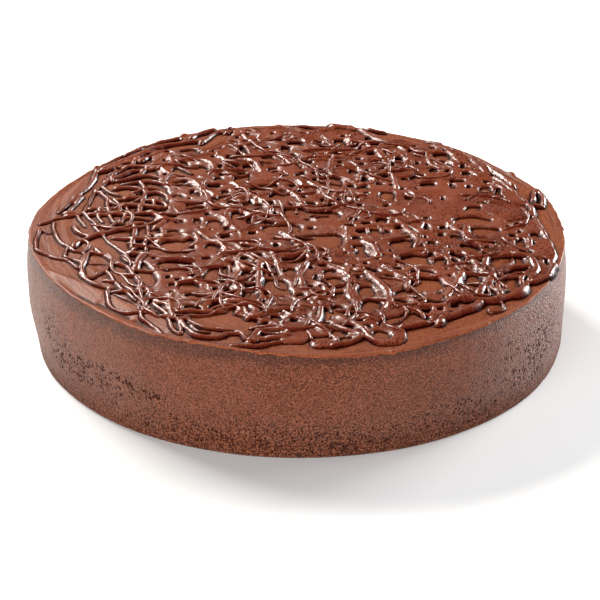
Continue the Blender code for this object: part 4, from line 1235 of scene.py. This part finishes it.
# ridges: strands that have sunk into the sheet
RIDGE_SEED = 8
RIDGES = 130
RIDGE_HALF_WIDTHS = (0.7, 1.5)
RIDGE_LENGTHS = (12.0, 46.0)
RIDGE_STEP = 1.5
RIDGE_ACROSS = (-65.0, 104.0)
RIDGE_DEEP = (-100.0, 104.0)
RIDGE_RADII = (102.0, 105.0)  # they start and end no farther out than this
RIDGE_LEANS = (0, 0, 8, -12, -64, -64, -50, -78, 40)
RIDGE_LEAN_SPREAD = 10.0
RIDGE_TURNS = (-0.28, -0.14, 0.0, 0.14, 0.28)    # ways to turn at each step, in radians,
RIDGE_TURN_SPREAD = 0.10      # and how much they vary
RIDGE_LOOK = 2.6              # how far ahead a ridge feels for a hole,
RIDGE_LOOK_TURN = 1.5         # turned this many times as far
RIDGE_COSTS = (1.6, 1.5, 0.25)    # of a hole ahead, of a sharp turn, of leaving the lean
RIDGE_BARE = (0.35, 0.8)      # how bare the icing may be where it starts and ends
BARE_BLUR = 1.0
SHORTEST_RIDGE = 5


def ridge_turn(draw, bare, x, y, heading, lean):
    """The turn that a ridge takes next: it leans one way and steers round the holes."""
    to_hole, to_turn, to_stray = RIDGE_COSTS
    turns = [draw.gauss(0.0, RIDGE_TURN_SPREAD) + turn for turn in RIDGE_TURNS]
    costs = []
    for turn in turns:
        ahead = heading + RIDGE_LOOK_TURN * turn
        hole = bare[cell_at(x + RIDGE_LOOK * math.cos(ahead), y + RIDGE_LOOK * math.sin(ahead))]
        stray = math.sin(ahead - lean) ** 2
        costs.append(to_hole * hole + to_turn * turn ** 2 + to_stray * stray)
    return turns[costs.index(min(costs))]


def ridge_points(draw, bare):
    """Points of a ridge that starts on the sheet and stays on it, or None."""
    lean = math.radians(draw.choice(RIDGE_LEANS) + draw.gauss(0.0, RIDGE_LEAN_SPREAD))
    x = draw.uniform(*RIDGE_ACROSS)
    y = draw.uniform(*RIDGE_DEEP)
    if bare[cell_at(x, y)] > RIDGE_BARE[0] or math.hypot(x, y) > RIDGE_RADII[0]:
        return None
    heading = lean
    points = [(x, y)]
    for _ in range(round(draw.uniform(*RIDGE_LENGTHS) / RIDGE_STEP)):
        heading += ridge_turn(draw, bare, x, y, heading, lean)
        x += RIDGE_STEP * math.cos(heading)
        y += RIDGE_STEP * math.sin(heading)
        if math.hypot(x, y) > RIDGE_RADII[1] or bare[cell_at(x, y)] > RIDGE_BARE[1]:
            break
        points.append((x, y))
    return points if len(points) > SHORTEST_RIDGE else None


def ridges(cover):
    """Rows like those of the listed strands, for ridges over the sheet outside the pool."""
    draw = random.Random(RIDGE_SEED)
    bare = blurred(1.0 - cover, BARE_BLUR)
    rows = []
    while len(rows) < RIDGES:
        points = ridge_points(draw, bare)
        if points and in_pool(*points[len(points) // 2]) < draw.random():
            rows.append((draw.uniform(*RIDGE_HALF_WIDTHS), *points[::2], points[-1]))
    return rows


def all_strands(cover):
    """The web's strands, in the order in which they were laid."""
    return (
        ridges(cover)
        + drawn_in(moved_nearer(STRANDS, cover), FRONT_ROOM)
        + drawn_in(BACK_STRANDS, BACK_ROOM)
        + drawn_in(moved_nearer(SCRAPS, cover), FRONT_ROOM)
    )


STRAND_SEED = 5
STRAND_GROWTH = (0.82, 0.94)  # share of its read width that a strand gets, left and right
GROWTH_FROM = -70.0
GROWTH_OVER = 70.0
STRAND_STEP = 0.35
STRAND_TIP = (0.35, 1.2)      # how blunt its ends are, and how long, in half widths
STRAND_WAVES = ((0.10, 0.55), (0.10, 0.23))    # in width: share, radians for each mm
STRAND_WAVER = (0.18, 0.6)    # sideways: distance, radians for each mm
STRAND_REACH = (1.3, 1.0)     # it changes the grid this many half widths out, and more


def strand_line(draw, half_width, points):
    """A strand's middle line and its half width all along, both a little uneven."""
    line = eased(points, STRAND_STEP)
    along = np.concatenate([[0.0], np.cumsum(np.hypot(*np.diff(line, axis=0).T))])
    *starts, waver_start = [draw.uniform(0.0, 2.0 * math.pi) for _ in range(3)]
    swell = 1.0
    for (depth, rate), start in zip(STRAND_WAVES, starts):
        swell = swell + depth * np.sin(rate * along + start)
    bluntness, tip = STRAND_TIP
    from_end = np.minimum(along, along[-1] - along)
    taper = np.sqrt(np.clip(bluntness + from_end / (tip * half_width), 0.0, 1.0))
    ahead = np.gradient(line, axis=0)
    ahead /= np.hypot(*ahead.T)[:, None] + 1e-9
    beside = np.stack([-ahead[:, 1], ahead[:, 0]], axis=-1)
    waver = STRAND_WAVER[0] * np.sin(STRAND_WAVER[1] * along + waver_start)
    return line + beside * waver[:, None], half_width * swell * taper


def grid_near(line, width):
    """The grid round a strand: a window, how far each point is from the middle line, and
    which point of the line is nearest."""
    reach = STRAND_REACH[0] * width.max() + STRAND_REACH[1]
    low = line.min(axis=0) - reach
    high = line.max(axis=0) + reach
    rows = cells(low[1], high[1])
    columns = cells(low[0], high[0])
    square = np.full((rows.stop - rows.start, columns.stop - columns.start), np.inf)
    nearest = np.zeros(square.shape, int)
    for index, (x, y) in enumerate(line):
        near_rows, near_columns = window(x, y, reach)
        east = grid_line[near_columns] - x
        north = grid_line[near_rows] - y
        off = east[None, :] ** 2 + north[:, None] ** 2
        part = (
            slice(near_rows.start - rows.start, near_rows.stop - rows.start),
            slice(near_columns.start - columns.start, near_columns.stop - columns.start),
        )
        closer = off < square[part]
        square[part][closer] = off[closer]
        nearest[part][closer] = index
    return (rows, columns), np.sqrt(square), nearest


def lay_strands(cover):
    """Adds every strand to the covered places, and returns where each one lies."""
    draw = random.Random(STRAND_SEED)
    laid = []
    for half_width, *points in all_strands(cover):
        to_right = smooth_ramp((points[0][0] - GROWTH_FROM) / GROWTH_OVER)
        half_width *= STRAND_GROWTH[0] + (STRAND_GROWTH[1] - STRAND_GROWTH[0]) * to_right
        line, width = strand_line(draw, half_width, points)
        where, away, nearest = grid_near(line, width)
        covered = np.clip(0.5 + (width[nearest] - away) / PITCH, 0.0, 1.0)
        cover[where] = np.maximum(cover[where], covered)
        laid.append((half_width, line, width, where, away, nearest))
    return laid


CAPILLARY = 1.3               # how far from an edge the ganache still thickens
THICKENS_FROM = -80.0
THICKENS_OVER = 140.0
WET_BLUR = 0.5                # covered places are rounded off by this,
WET_FROM = 0.38               # and wet where the cover is more than this
WET_OVER = 0.24
DRY_REACH = 0.2               # how far the ganache creeps over dry places
SETTLING_STEPS = 140
EDGE_SWELL = 0.02             # swell at which its surface meets the icing,
EDGE_FALL = 3.0               # and how much more steeply it goes on down outside that
TOP_WAVES = ((0.06, 3, 1.0), (0.10, 4, 3.0))    # uneven top: height, seed and size
SINK = 0.80                   # a strand stands on this share of the height under it,
SINK_OVER = 0.3               # and where that is more than this,
SINK_SHARE = 0.25             # it sinks in by this share of its half width
GROUND_POINTS = 9             # points of its line over which it evens out the ground
ROPE_HEIGHT = 0.95            # of a strand, in half widths,
ROPE_FALL = 0.8               # and its fall beside it
BLEND = 0.25                  # width of the soft valley between strands
SHADE_FILM = 0.10                   # thickness of the dark sheet of painted shade in the smallest holes,
FILM_REACH = 1.3              # where within this reach
FILM_COVER = 0.62             # more than this share is covered,
FOOT_SHADE_FILM = 0.05              # and of the dark line of painted shade where the ganache meets the icing
FOOT_FILM_REACH = 0.5
FOOT_FILM_COVER = 0.15
WEB_TOP = 51.1                # the highest strands are pressed down under this,
KNEE = 0.6                    # from this share of it
SKIRT = -0.6                  # how far the skin goes on under the icing


def settled(cover):
    """Height of ganache that has run out over the covered places: a screened membrane,
    round at its edges and level where it is wide."""
    to_right = smooth_ramp((grid_x - THICKENS_FROM) / THICKENS_OVER)
    thickest = SHEET_HEIGHT[0] + (SHEET_HEIGHT[1] - SHEET_HEIGHT[0]) * to_right
    wet = smooth_ramp((blurred(cover, WET_BLUR) - WET_FROM) / WET_OVER)
    hold = 4.0 / PITCH ** 2 + 1.0 / CAPILLARY ** 2 + (1.0 - wet) / DRY_REACH ** 2
    swell = CAPILLARY ** 2 * wet
    for _ in range(SETTLING_STEPS):
        beside = np.zeros_like(swell)
        beside[1:-1, 1:-1] = (
            swell[:-2, 1:-1] + swell[2:, 1:-1] + swell[1:-1, :-2] + swell[1:-1, 2:]
        )
        swell = (beside / PITCH ** 2 + wet) / hold
    above = np.sqrt(2.0 * np.maximum(swell - EDGE_SWELL, 0.0))
    below = -EDGE_FALL * np.sqrt(2.0 * np.maximum(EDGE_SWELL - swell, 0.0))
    return np.where(swell > EDGE_SWELL, thickest * np.tanh(above / thickest), below)


def merged(first, second):
    """The higher of two surfaces, with a soft valley between them."""
    close = np.maximum(BLEND - np.abs(first - second), 0.0) / BLEND
    return np.maximum(first, second) + close ** 2 * BLEND / 4.0


def running_mean(values, width):
    """Each value evened out over a number of its neighbours."""
    padded = np.pad(values, width // 2, mode="edge")
    return np.convolve(padded, np.ones(width) / width, "valid")[:len(values)]


def raise_strands(height, laid):
    """Stands every strand on the ganache under it, as a round rope that has sunk in."""
    for half_width, line, width, where, away, nearest in laid:
        ground = np.maximum(height[cell_at(line[:, 0], line[:, 1])], 0.0)
        ground = running_mean(ground, GROUND_POINTS)
        base = SINK * ground - SINK_SHARE * half_width * (ground > SINK_OVER)
        gap = width[nearest] ** 2 - away ** 2
        rope = np.where(gap > 0.0, ROPE_HEIGHT, -ROPE_FALL) * np.sqrt(np.abs(gap))
        height[where] = merged(height[where], base[nearest] + rope)


def pressed_down(height):
    """The height, with its highest parts pressed down under WEB_TOP."""
    tallest = WEB_TOP - on_icing / MM
    knee = KNEE * tallest
    room = tallest - knee
    pressed = knee + room * np.tanh(np.maximum(height - knee, 0.0) / room)
    return np.where(height > knee, pressed, height)


def web_surface():
    """Height of the whole web over the icing."""
    cover = sheet_cover()
    laid = lay_strands(cover)
    height = settled(cover)
    # a dark sheet of painted shade in the smallest holes
    filmed = blurred(cover, FILM_REACH) > FILM_COVER
    height = np.where(filmed, np.maximum(height, SHADE_FILM), height)
    uneven_top = sum(depth * soft_noise(seed, size) for depth, seed, size in TOP_WAVES)
    height = height + uneven_top * np.clip(height, 0.0, 1.0)
    raise_strands(height, laid)
    # a thin dark sheet of painted shade round the foot of the ganache
    beside = blurred((height > 0.0).astype(float), FOOT_FILM_REACH) > FOOT_FILM_COVER
    height = np.where(beside, np.maximum(height, FOOT_SHADE_FILM), height)
    return np.maximum(pressed_down(height), SKIRT)


on_icing = icing_height(grid_x * MM, grid_y * MM)
web_height = web_surface() * MM


def piece_from_grid(name, height, wanted):
    """A skin over the cells of the grid that have a wanted corner."""
    kept = wanted[:-1, :-1] | wanted[1:, :-1] | wanted[:-1, 1:] | wanted[1:, 1:]
    used = np.zeros_like(wanted)
    for corner in (used[:-1, :-1], used[1:, :-1], used[:-1, 1:], used[1:, 1:]):
        corner |= kept
    number = np.full(wanted.shape, -1)
    number[used] = np.arange(used.sum())
    points = np.stack([grid_x[used] * MM, grid_y[used] * MM, height[used]], axis=-1)
    rows, columns = np.nonzero(kept)
    faces = np.stack([
        number[rows, columns],
        number[rows, columns + 1],
        number[rows + 1, columns + 1],
        number[rows + 1, columns],
    ], axis=-1)
    return smooth_piece(name, points.tolist(), faces.tolist())


def thinned(piece, most_triangles):
    """Takes a piece's mesh down to a number of triangles, where it has more."""
    triangles = sum(len(face.vertices) - 2 for face in piece.data.polygons)
    if triangles > most_triangles:
        thin = piece.modifiers.new("thin", "DECIMATE")
        thin.ratio = most_triangles / triangles
        graph = bpy.context.evaluated_depsgraph_get()
        mesh = bpy.data.meshes.new_from_object(piece.evaluated_get(graph))
        piece.modifiers.clear()
        piece.data = mesh
    piece.data.shade_smooth()


def paint_field(piece, name, field):
    """Writes a field of the grid into the points of a piece, for its material."""
    places = places_of(piece) / MM
    paint(piece, name, field[cell_at(places[:, 0], places[:, 1])])


GANACHE_BROWN = (0.127, 0.024, 0.008, 1.0)
GANACHE_LIGHT = (0.167, 0.037, 0.014, 1.0)
# painted shade on the steep walls
GANACHE_WALL_SHADE = (0.080, 0.009, 0.004, 1.0)
GANACHE_SPECK = (0.060, 0.009, 0.004, 1.0)

# the material reckons in metres again
LIGHT_SCALE = 55.0
LIGHT_SPAN = (0.3, 0.7)
# painted shade on the steep walls of strands and holes
WALL_SPAN = (0.90, 0.58)      # how far the skin faces up where the darker walls set in
FINE_BUBBLE_SCALE = 800.0
FINE_BUBBLE_SPAN = (0.46, 0.30)
FROTH_SCALE = 130.0           # patches with many bubbles,
FROTH_SPAN = (0.40, 0.56, 0.15, 1.0)
FROTH_TO_RIGHT = (-0.07, 0.02, 0.35, 1.0)    # and more of them to the right
ROUGH_SCALE = 120.0
ROUGH_SPAN = (0.3, 0.7, 0.25, 0.40)
ROUGHER_SPECKS = 0.25
GANACHE_SHINE = (0.0, 0.8, 0.5, 0.02)
RIPPLE_SCALE = 480.0


def fine_bubbles(glossy, place):
    """Specks of burst bubbles, in patches and more of them to the right."""
    bubbles = glossy.spots(place, FINE_BUBBLE_SCALE)
    froth = glossy.span(glossy.noise(place, FROTH_SCALE, detail=2.0), *FROTH_SPAN)
    froth = glossy.times(froth, glossy.span(glossy.part(place, "X"), *FROTH_TO_RIGHT))
    return glossy.times(glossy.span(bubbles, *FINE_BUBBLE_SPAN), froth)


def ganache_finish(name):
    """Glossy ganache, set: nearly smooth, with faint ripples and fine bubbles, darker on its
    steep walls by painted shade, and dull and darkened by painted shade in the crevices
    where strands meet."""
    glossy = Recipe(name)
    place = glossy.place()
    light = glossy.span(glossy.noise(place, LIGHT_SCALE), *LIGHT_SPAN)
    colour = glossy.blend(light, GANACHE_BROWN, GANACHE_LIGHT)
    # painted shade on the steep walls of strands and holes
    colour = glossy.blend(glossy.steepness(*WALL_SPAN), colour, GANACHE_WALL_SHADE)
    speck = fine_bubbles(glossy, place)
    colour = glossy.blend(speck, colour, GANACHE_SPECK)
    # painted shade in the crevices and at the foot of the walls
    painted_shade = glossy.painted("crevice")
    colour = glossy.blend(painted_shade, colour, CREVICE_SHADE)
    rough = glossy.span(glossy.noise(place, ROUGH_SCALE, detail=2.0), *ROUGH_SPAN)
    ripples = glossy.noise(place, RIPPLE_SCALE, detail=2.0)
    return glossy.finish(
        Base_Color=colour,
        Roughness=glossy.plus(rough, glossy.times(speck, ROUGHER_SPECKS)),
        Specular_IOR_Level=glossy.span(glossy.larger(painted_shade, speck), *GANACHE_SHINE),
        Normal=glossy.bump(ripples, distance=0.00030, strength=0.6),
    )


WEB_TRIANGLES = 190000
SKIN_DEPTH = 0.15             # the skin is cut off this far under the icing
# painted shade: the crevices, the lowest part of each wall and the icing close to the web are
# darkened
VALLEY_REACH = 1.2            # a crevice lies lower than what is this far round it,
VALLEY_FROM = 0.05            # by more than this
VALLEY_OVER = 0.30
FOOT_LINE = 0.70              # the lowest part of each wall is dark too
SHADE_REACH = 0.9             # and so is the icing this close to the web
SHADE_FULL = 0.75

web = piece_from_grid("ganache_web", on_icing + web_height, web_height > -SKIN_DEPTH * MM)
thinned(web, WEB_TRIANGLES)
standing = np.maximum(web_height / MM, 0.0)
valley_depth = blurred(standing, VALLEY_REACH) - standing
valleys = smooth_ramp((valley_depth - VALLEY_FROM) / VALLEY_OVER)
# painted shade in the web's crevices and at the foot of its walls
paint_field(web, "crevice", np.maximum(valleys, 1.0 - smooth_ramp(standing / FOOT_LINE)))
web.data.materials.append(ganache_finish("ganache"))
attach(web, "root")
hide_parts("top_icing")
# painted shade on the icing close to the web
paint_field(icing, "crevice", smooth_ramp(blurred(standing, SHADE_REACH) / SHADE_FULL))

# ----------------------------------------------------------------------------------------
# The fine threads.
# The last, thinnest ganache off the spoon: threads about 1.3 mm thick that lie over the
# web, bridge its gaps and touch the icing between.
# ----------------------------------------------------------------------------------------

# lengths are millimetres here too
THREAD_SEED = 23
THREAD_COUNT = 140
THREAD_HALF = 0.74            # half width
THREAD_WAVES = (0.25, 0.51)   # in width: share, radians for each ring of points
THREAD_TIP = (0.15, 0.6)      # how blunt the ends are, and growth for each ring of points
THREAD_SIDES = 8
THREAD_STEP = 2.0             # between the points that steer a thread
THREAD_SPACING = 0.8          # between its rings of points
THREAD_LENGTHS = (7.0, 45.0)  # the shortest, and how much longer the longest is
THREAD_LEANS = (math.radians(-64), 0.1, math.radians(-30), math.radians(60))
LEAN_SPREAD = 0.5
LEAN_PULL = 0.10              # how hard a thread is drawn back to its lean
BEND = 0.16                   # how much it curls at each step
BEND_KEPT = 0.8               # and how much of the last step's curl stays
SHORTEST_ROUTE = 5
THREADS_RADIUS = 101.0        # they keep inside this
THREADS_START = 0.95          # and start inside this share of it
THREADS_FROM = -20.0          # they get rarer to the right from here
THREADS_OVER = 90.0
THREADS_LOST = 0.6
BRIDGED = (9, 5)              # rings over which a thread evens out the ground, and itself
GROUND_SINK = 0.3             # a thread sinks no deeper than this into the ground's hills
THREAD_LIFT = 0.25            # its middle lies this share of its half width over them
THREAD_TOP = 0.7              # and it keeps this share of it under the web's top


def thread_route(draw, length, lean):
    """Points of a thread that wanders, leans one way and stays on the cake."""
    radius = THREADS_START * THREADS_RADIUS * math.sqrt(draw.random())
    azimuth = draw.uniform(0.0, 2.0 * math.pi)
    x = radius * math.cos(azimuth)
    y = radius * math.sin(azimuth)
    heading = lean + draw.gauss(0.0, LEAN_SPREAD)
    curl = 0.0
    points = [(x, y)]
    for _ in range(round(length / THREAD_STEP)):
        curl = BEND_KEPT * curl + draw.gauss(0.0, BEND)
        heading += curl + LEAN_PULL * math.sin(2.0 * (lean - heading))
        x += THREAD_STEP * math.cos(heading)
        y += THREAD_STEP * math.sin(heading)
        if math.hypot(x, y) > THREADS_RADIUS:
            break
        points.append((x, y))
    return points


def kept_share(point):
    """Share of the threads that are kept where their middle is this point."""
    return 1.0 - THREADS_LOST * smooth_ramp((point[0] - THREADS_FROM) / THREADS_OVER)


def thread_radii(rings, number):
    """Radius of each ring of a thread, in metres."""
    along = np.arange(rings)
    depth, rate = THREAD_WAVES
    blunt, growth = THREAD_TIP
    radii = THREAD_HALF * MM * (1.0 + depth * np.sin(rate * along + number))
    from_end = np.minimum(along, along[::-1])
    return radii * np.sqrt(np.clip(blunt + growth * from_end, 0.0, 1.0))


def drape(line, radii):
    """The thread's points in space, in metres, lying on what is under them."""
    cell = cell_at(line[:, 0], line[:, 1])
    under = np.maximum(web_height[cell], 0.0) + on_icing[cell]
    ground = np.maximum(running_mean(under, BRIDGED[0]), under - GROUND_SINK * MM)
    resting = np.minimum(ground + THREAD_LIFT * radii, WEB_TOP * MM - THREAD_TOP * radii)
    return np.column_stack([line * MM, running_mean(resting, BRIDGED[1])])


def tube_rings(line, radii):
    """Rings of points round a line that lies nearly level."""
    ahead = np.gradient(line, axis=0)
    ahead /= np.linalg.norm(ahead, axis=1, keepdims=True)
    across = np.cross(ahead, [0.0, 0.0, 1.0])
    across /= np.linalg.norm(across, axis=1, keepdims=True)
    upward = np.cross(across, ahead)
    angles = np.arange(THREAD_SIDES) * 2.0 * math.pi / THREAD_SIDES
    ring = (
        np.cos(angles)[None, :, None] * across[:, None, :]
        + np.sin(angles)[None, :, None] * upward[:, None, :]
    )
    return line[:, None, :] + radii[:, None, None] * ring


def tube_faces(first, rings):
    """Faces of a tube whose points start at number first, with a flat face on each end."""
    faces = []
    for step in range(rings - 1):
        base = first + step * THREAD_SIDES
        for side in range(THREAD_SIDES):
            here = base + side
            beside = base + (side + 1) % THREAD_SIDES
            faces.append((here, beside, beside + THREAD_SIDES, here + THREAD_SIDES))
    last = first + (rings - 1) * THREAD_SIDES
    faces.append(tuple(range(first + THREAD_SIDES - 1, first - 1, -1)))
    faces.append(tuple(range(last, last + THREAD_SIDES)))
    return faces


def fine_threads():
    """All the threads, as one piece."""
    draw = random.Random(THREAD_SEED)
    points = []
    faces = []
    made = 0
    while made < THREAD_COUNT:
        lean = draw.choice(THREAD_LEANS)
        length = THREAD_LENGTHS[0] + THREAD_LENGTHS[1] * draw.random() ** 2
        route = thread_route(draw, length, lean)
        if len(route) < SHORTEST_ROUTE or draw.random() > kept_share(route[len(route) // 2]):
            continue
        made += 1
        line = eased(route, THREAD_SPACING)
        radii = thread_radii(len(line), made)
        faces.extend(tube_faces(len(points), len(line)))
        points.extend(tube_rings(drape(line, radii), radii).reshape(-1, 3).tolist())
    return smooth_piece("fine_threads", points, faces)


threads = fine_threads()
threads.data.materials.append(ganache_finish("thread_ganache"))
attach(threads, "root")
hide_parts("top_icing")

# ----------------------------------------------------------------------------------------
# The studio.
# A pale floor that runs back into a pale room, a large soft light above and behind, and
# softer light from both sides and the front. The camera has the photograph's view.
# ----------------------------------------------------------------------------------------

WHITE = (1.0, 1.0, 1.0)
KEY_COLOUR = (1.0, 0.98, 0.93)
PANEL_COLOUR = (1.0, 0.86, 0.73)
FLOOR_COLOUR = (0.80, 0.80, 0.80, 1.0)
FLOOR_SIZE = 6.0
ROOM_COLOUR = (1.0, 1.0, 1.0, 1.0)
ROOM_LIGHT = 0.07
CAMERA_DISTANCE = 1.37        # from the middle of the cake's top
CAMERA_ELEVATION = math.radians(25.43)
CAMERA_LENS = 193.5
AIM = (0.0, 0.0050, 0.0126)

# name, place, height on the cake's axis that it shines at, its two sizes, power, colour
LIGHTS = (
    ("key_softbox", (-0.68, 0.84, 0.88), 0.04, (0.75, 0.50), 36.5, KEY_COLOUR),
    ("back_left_panel", (-1.05, 0.75, 0.30), 0.03, (0.7, 0.30), 1.2, PANEL_COLOUR),
    ("back_right_panel", (0.95, 0.90, 0.25), 0.03, (0.6, 0.45), 28.0, WHITE),
    ("right_fill", (1.05, 0.45, 0.45), 0.03, (0.8, 0.6), 11.0, WHITE),
    ("front_fill", (-0.38, -1.45, 0.35), 0.02, (2.0, 0.6), 50.0, WHITE),
    ("front_card", (0.0, -1.40, 0.90), 0.02, (2.0, 1.2), 0.7, WHITE),
)
NOT_MIRRORED = ("right_fill", "front_fill")    # lights that the cake's gloss doesn't show
ONLY_MIRRORED = ("front_card",)                # and one that only its gloss shows


def turned_to(place, aim):
    """The turn of a light or camera at a place that looks at aim."""
    return (Vector(aim) - Vector(place)).to_track_quat("-Z", "Y").to_euler()


def soft_light(name, place, aim_height, size, power, colour):
    """A rectangular soft light."""
    lamp = bpy.data.lights.new(name, "AREA")
    lamp.shape = "RECTANGLE"
    lamp.size, lamp.size_y = size
    lamp.energy = power
    lamp.color = colour
    light = put_in_scene(name, lamp)
    light.location = place
    light.rotation_euler = turned_to(place, (0.0, 0.0, aim_height))
    light.visible_glossy = name not in NOT_MIRRORED
    light.visible_diffuse = name not in ONLY_MIRRORED


def pale_floor():
    """A large level floor."""
    cage = bmesh.new()
    bmesh.ops.create_grid(cage, x_segments=1, y_segments=1, size=FLOOR_SIZE / 2)
    mesh = bpy.data.meshes.new("floor")
    cage.to_mesh(mesh)
    cage.free()
    mesh.materials.append(Recipe("pale_floor").finish(Base_Color=FLOOR_COLOUR, Roughness=0.9))
    return put_in_scene("floor", mesh)


def pale_room():
    """The even light of a white room."""
    room = bpy.data.worlds.new("room")
    room.use_nodes = True
    background = room.node_tree.nodes["Background"]
    background.inputs["Color"].default_value = ROOM_COLOUR
    background.inputs["Strength"].default_value = ROOM_LIGHT
    return room


def photo_camera():
    """The camera, at the photograph's distance and height."""
    lens = bpy.data.cameras.new("camera")
    lens.lens = CAMERA_LENS
    lens.sensor_width = 36.0
    lens.clip_end = 20.0
    camera = put_in_scene("camera", lens)
    camera.location = (
        0.0,
        -CAMERA_DISTANCE * math.cos(CAMERA_ELEVATION),
        CAKE_HEIGHT + CAMERA_DISTANCE * math.sin(CAMERA_ELEVATION),
    )
    camera.rotation_euler = turned_to(camera.location, AIM)
    return camera


pale_floor()
bpy.context.scene.world = pale_room()
bpy.context.scene.view_settings.view_transform = "Standard"
for light in LIGHTS:
    soft_light(*light)
bpy.context.scene.camera = photo_camera()
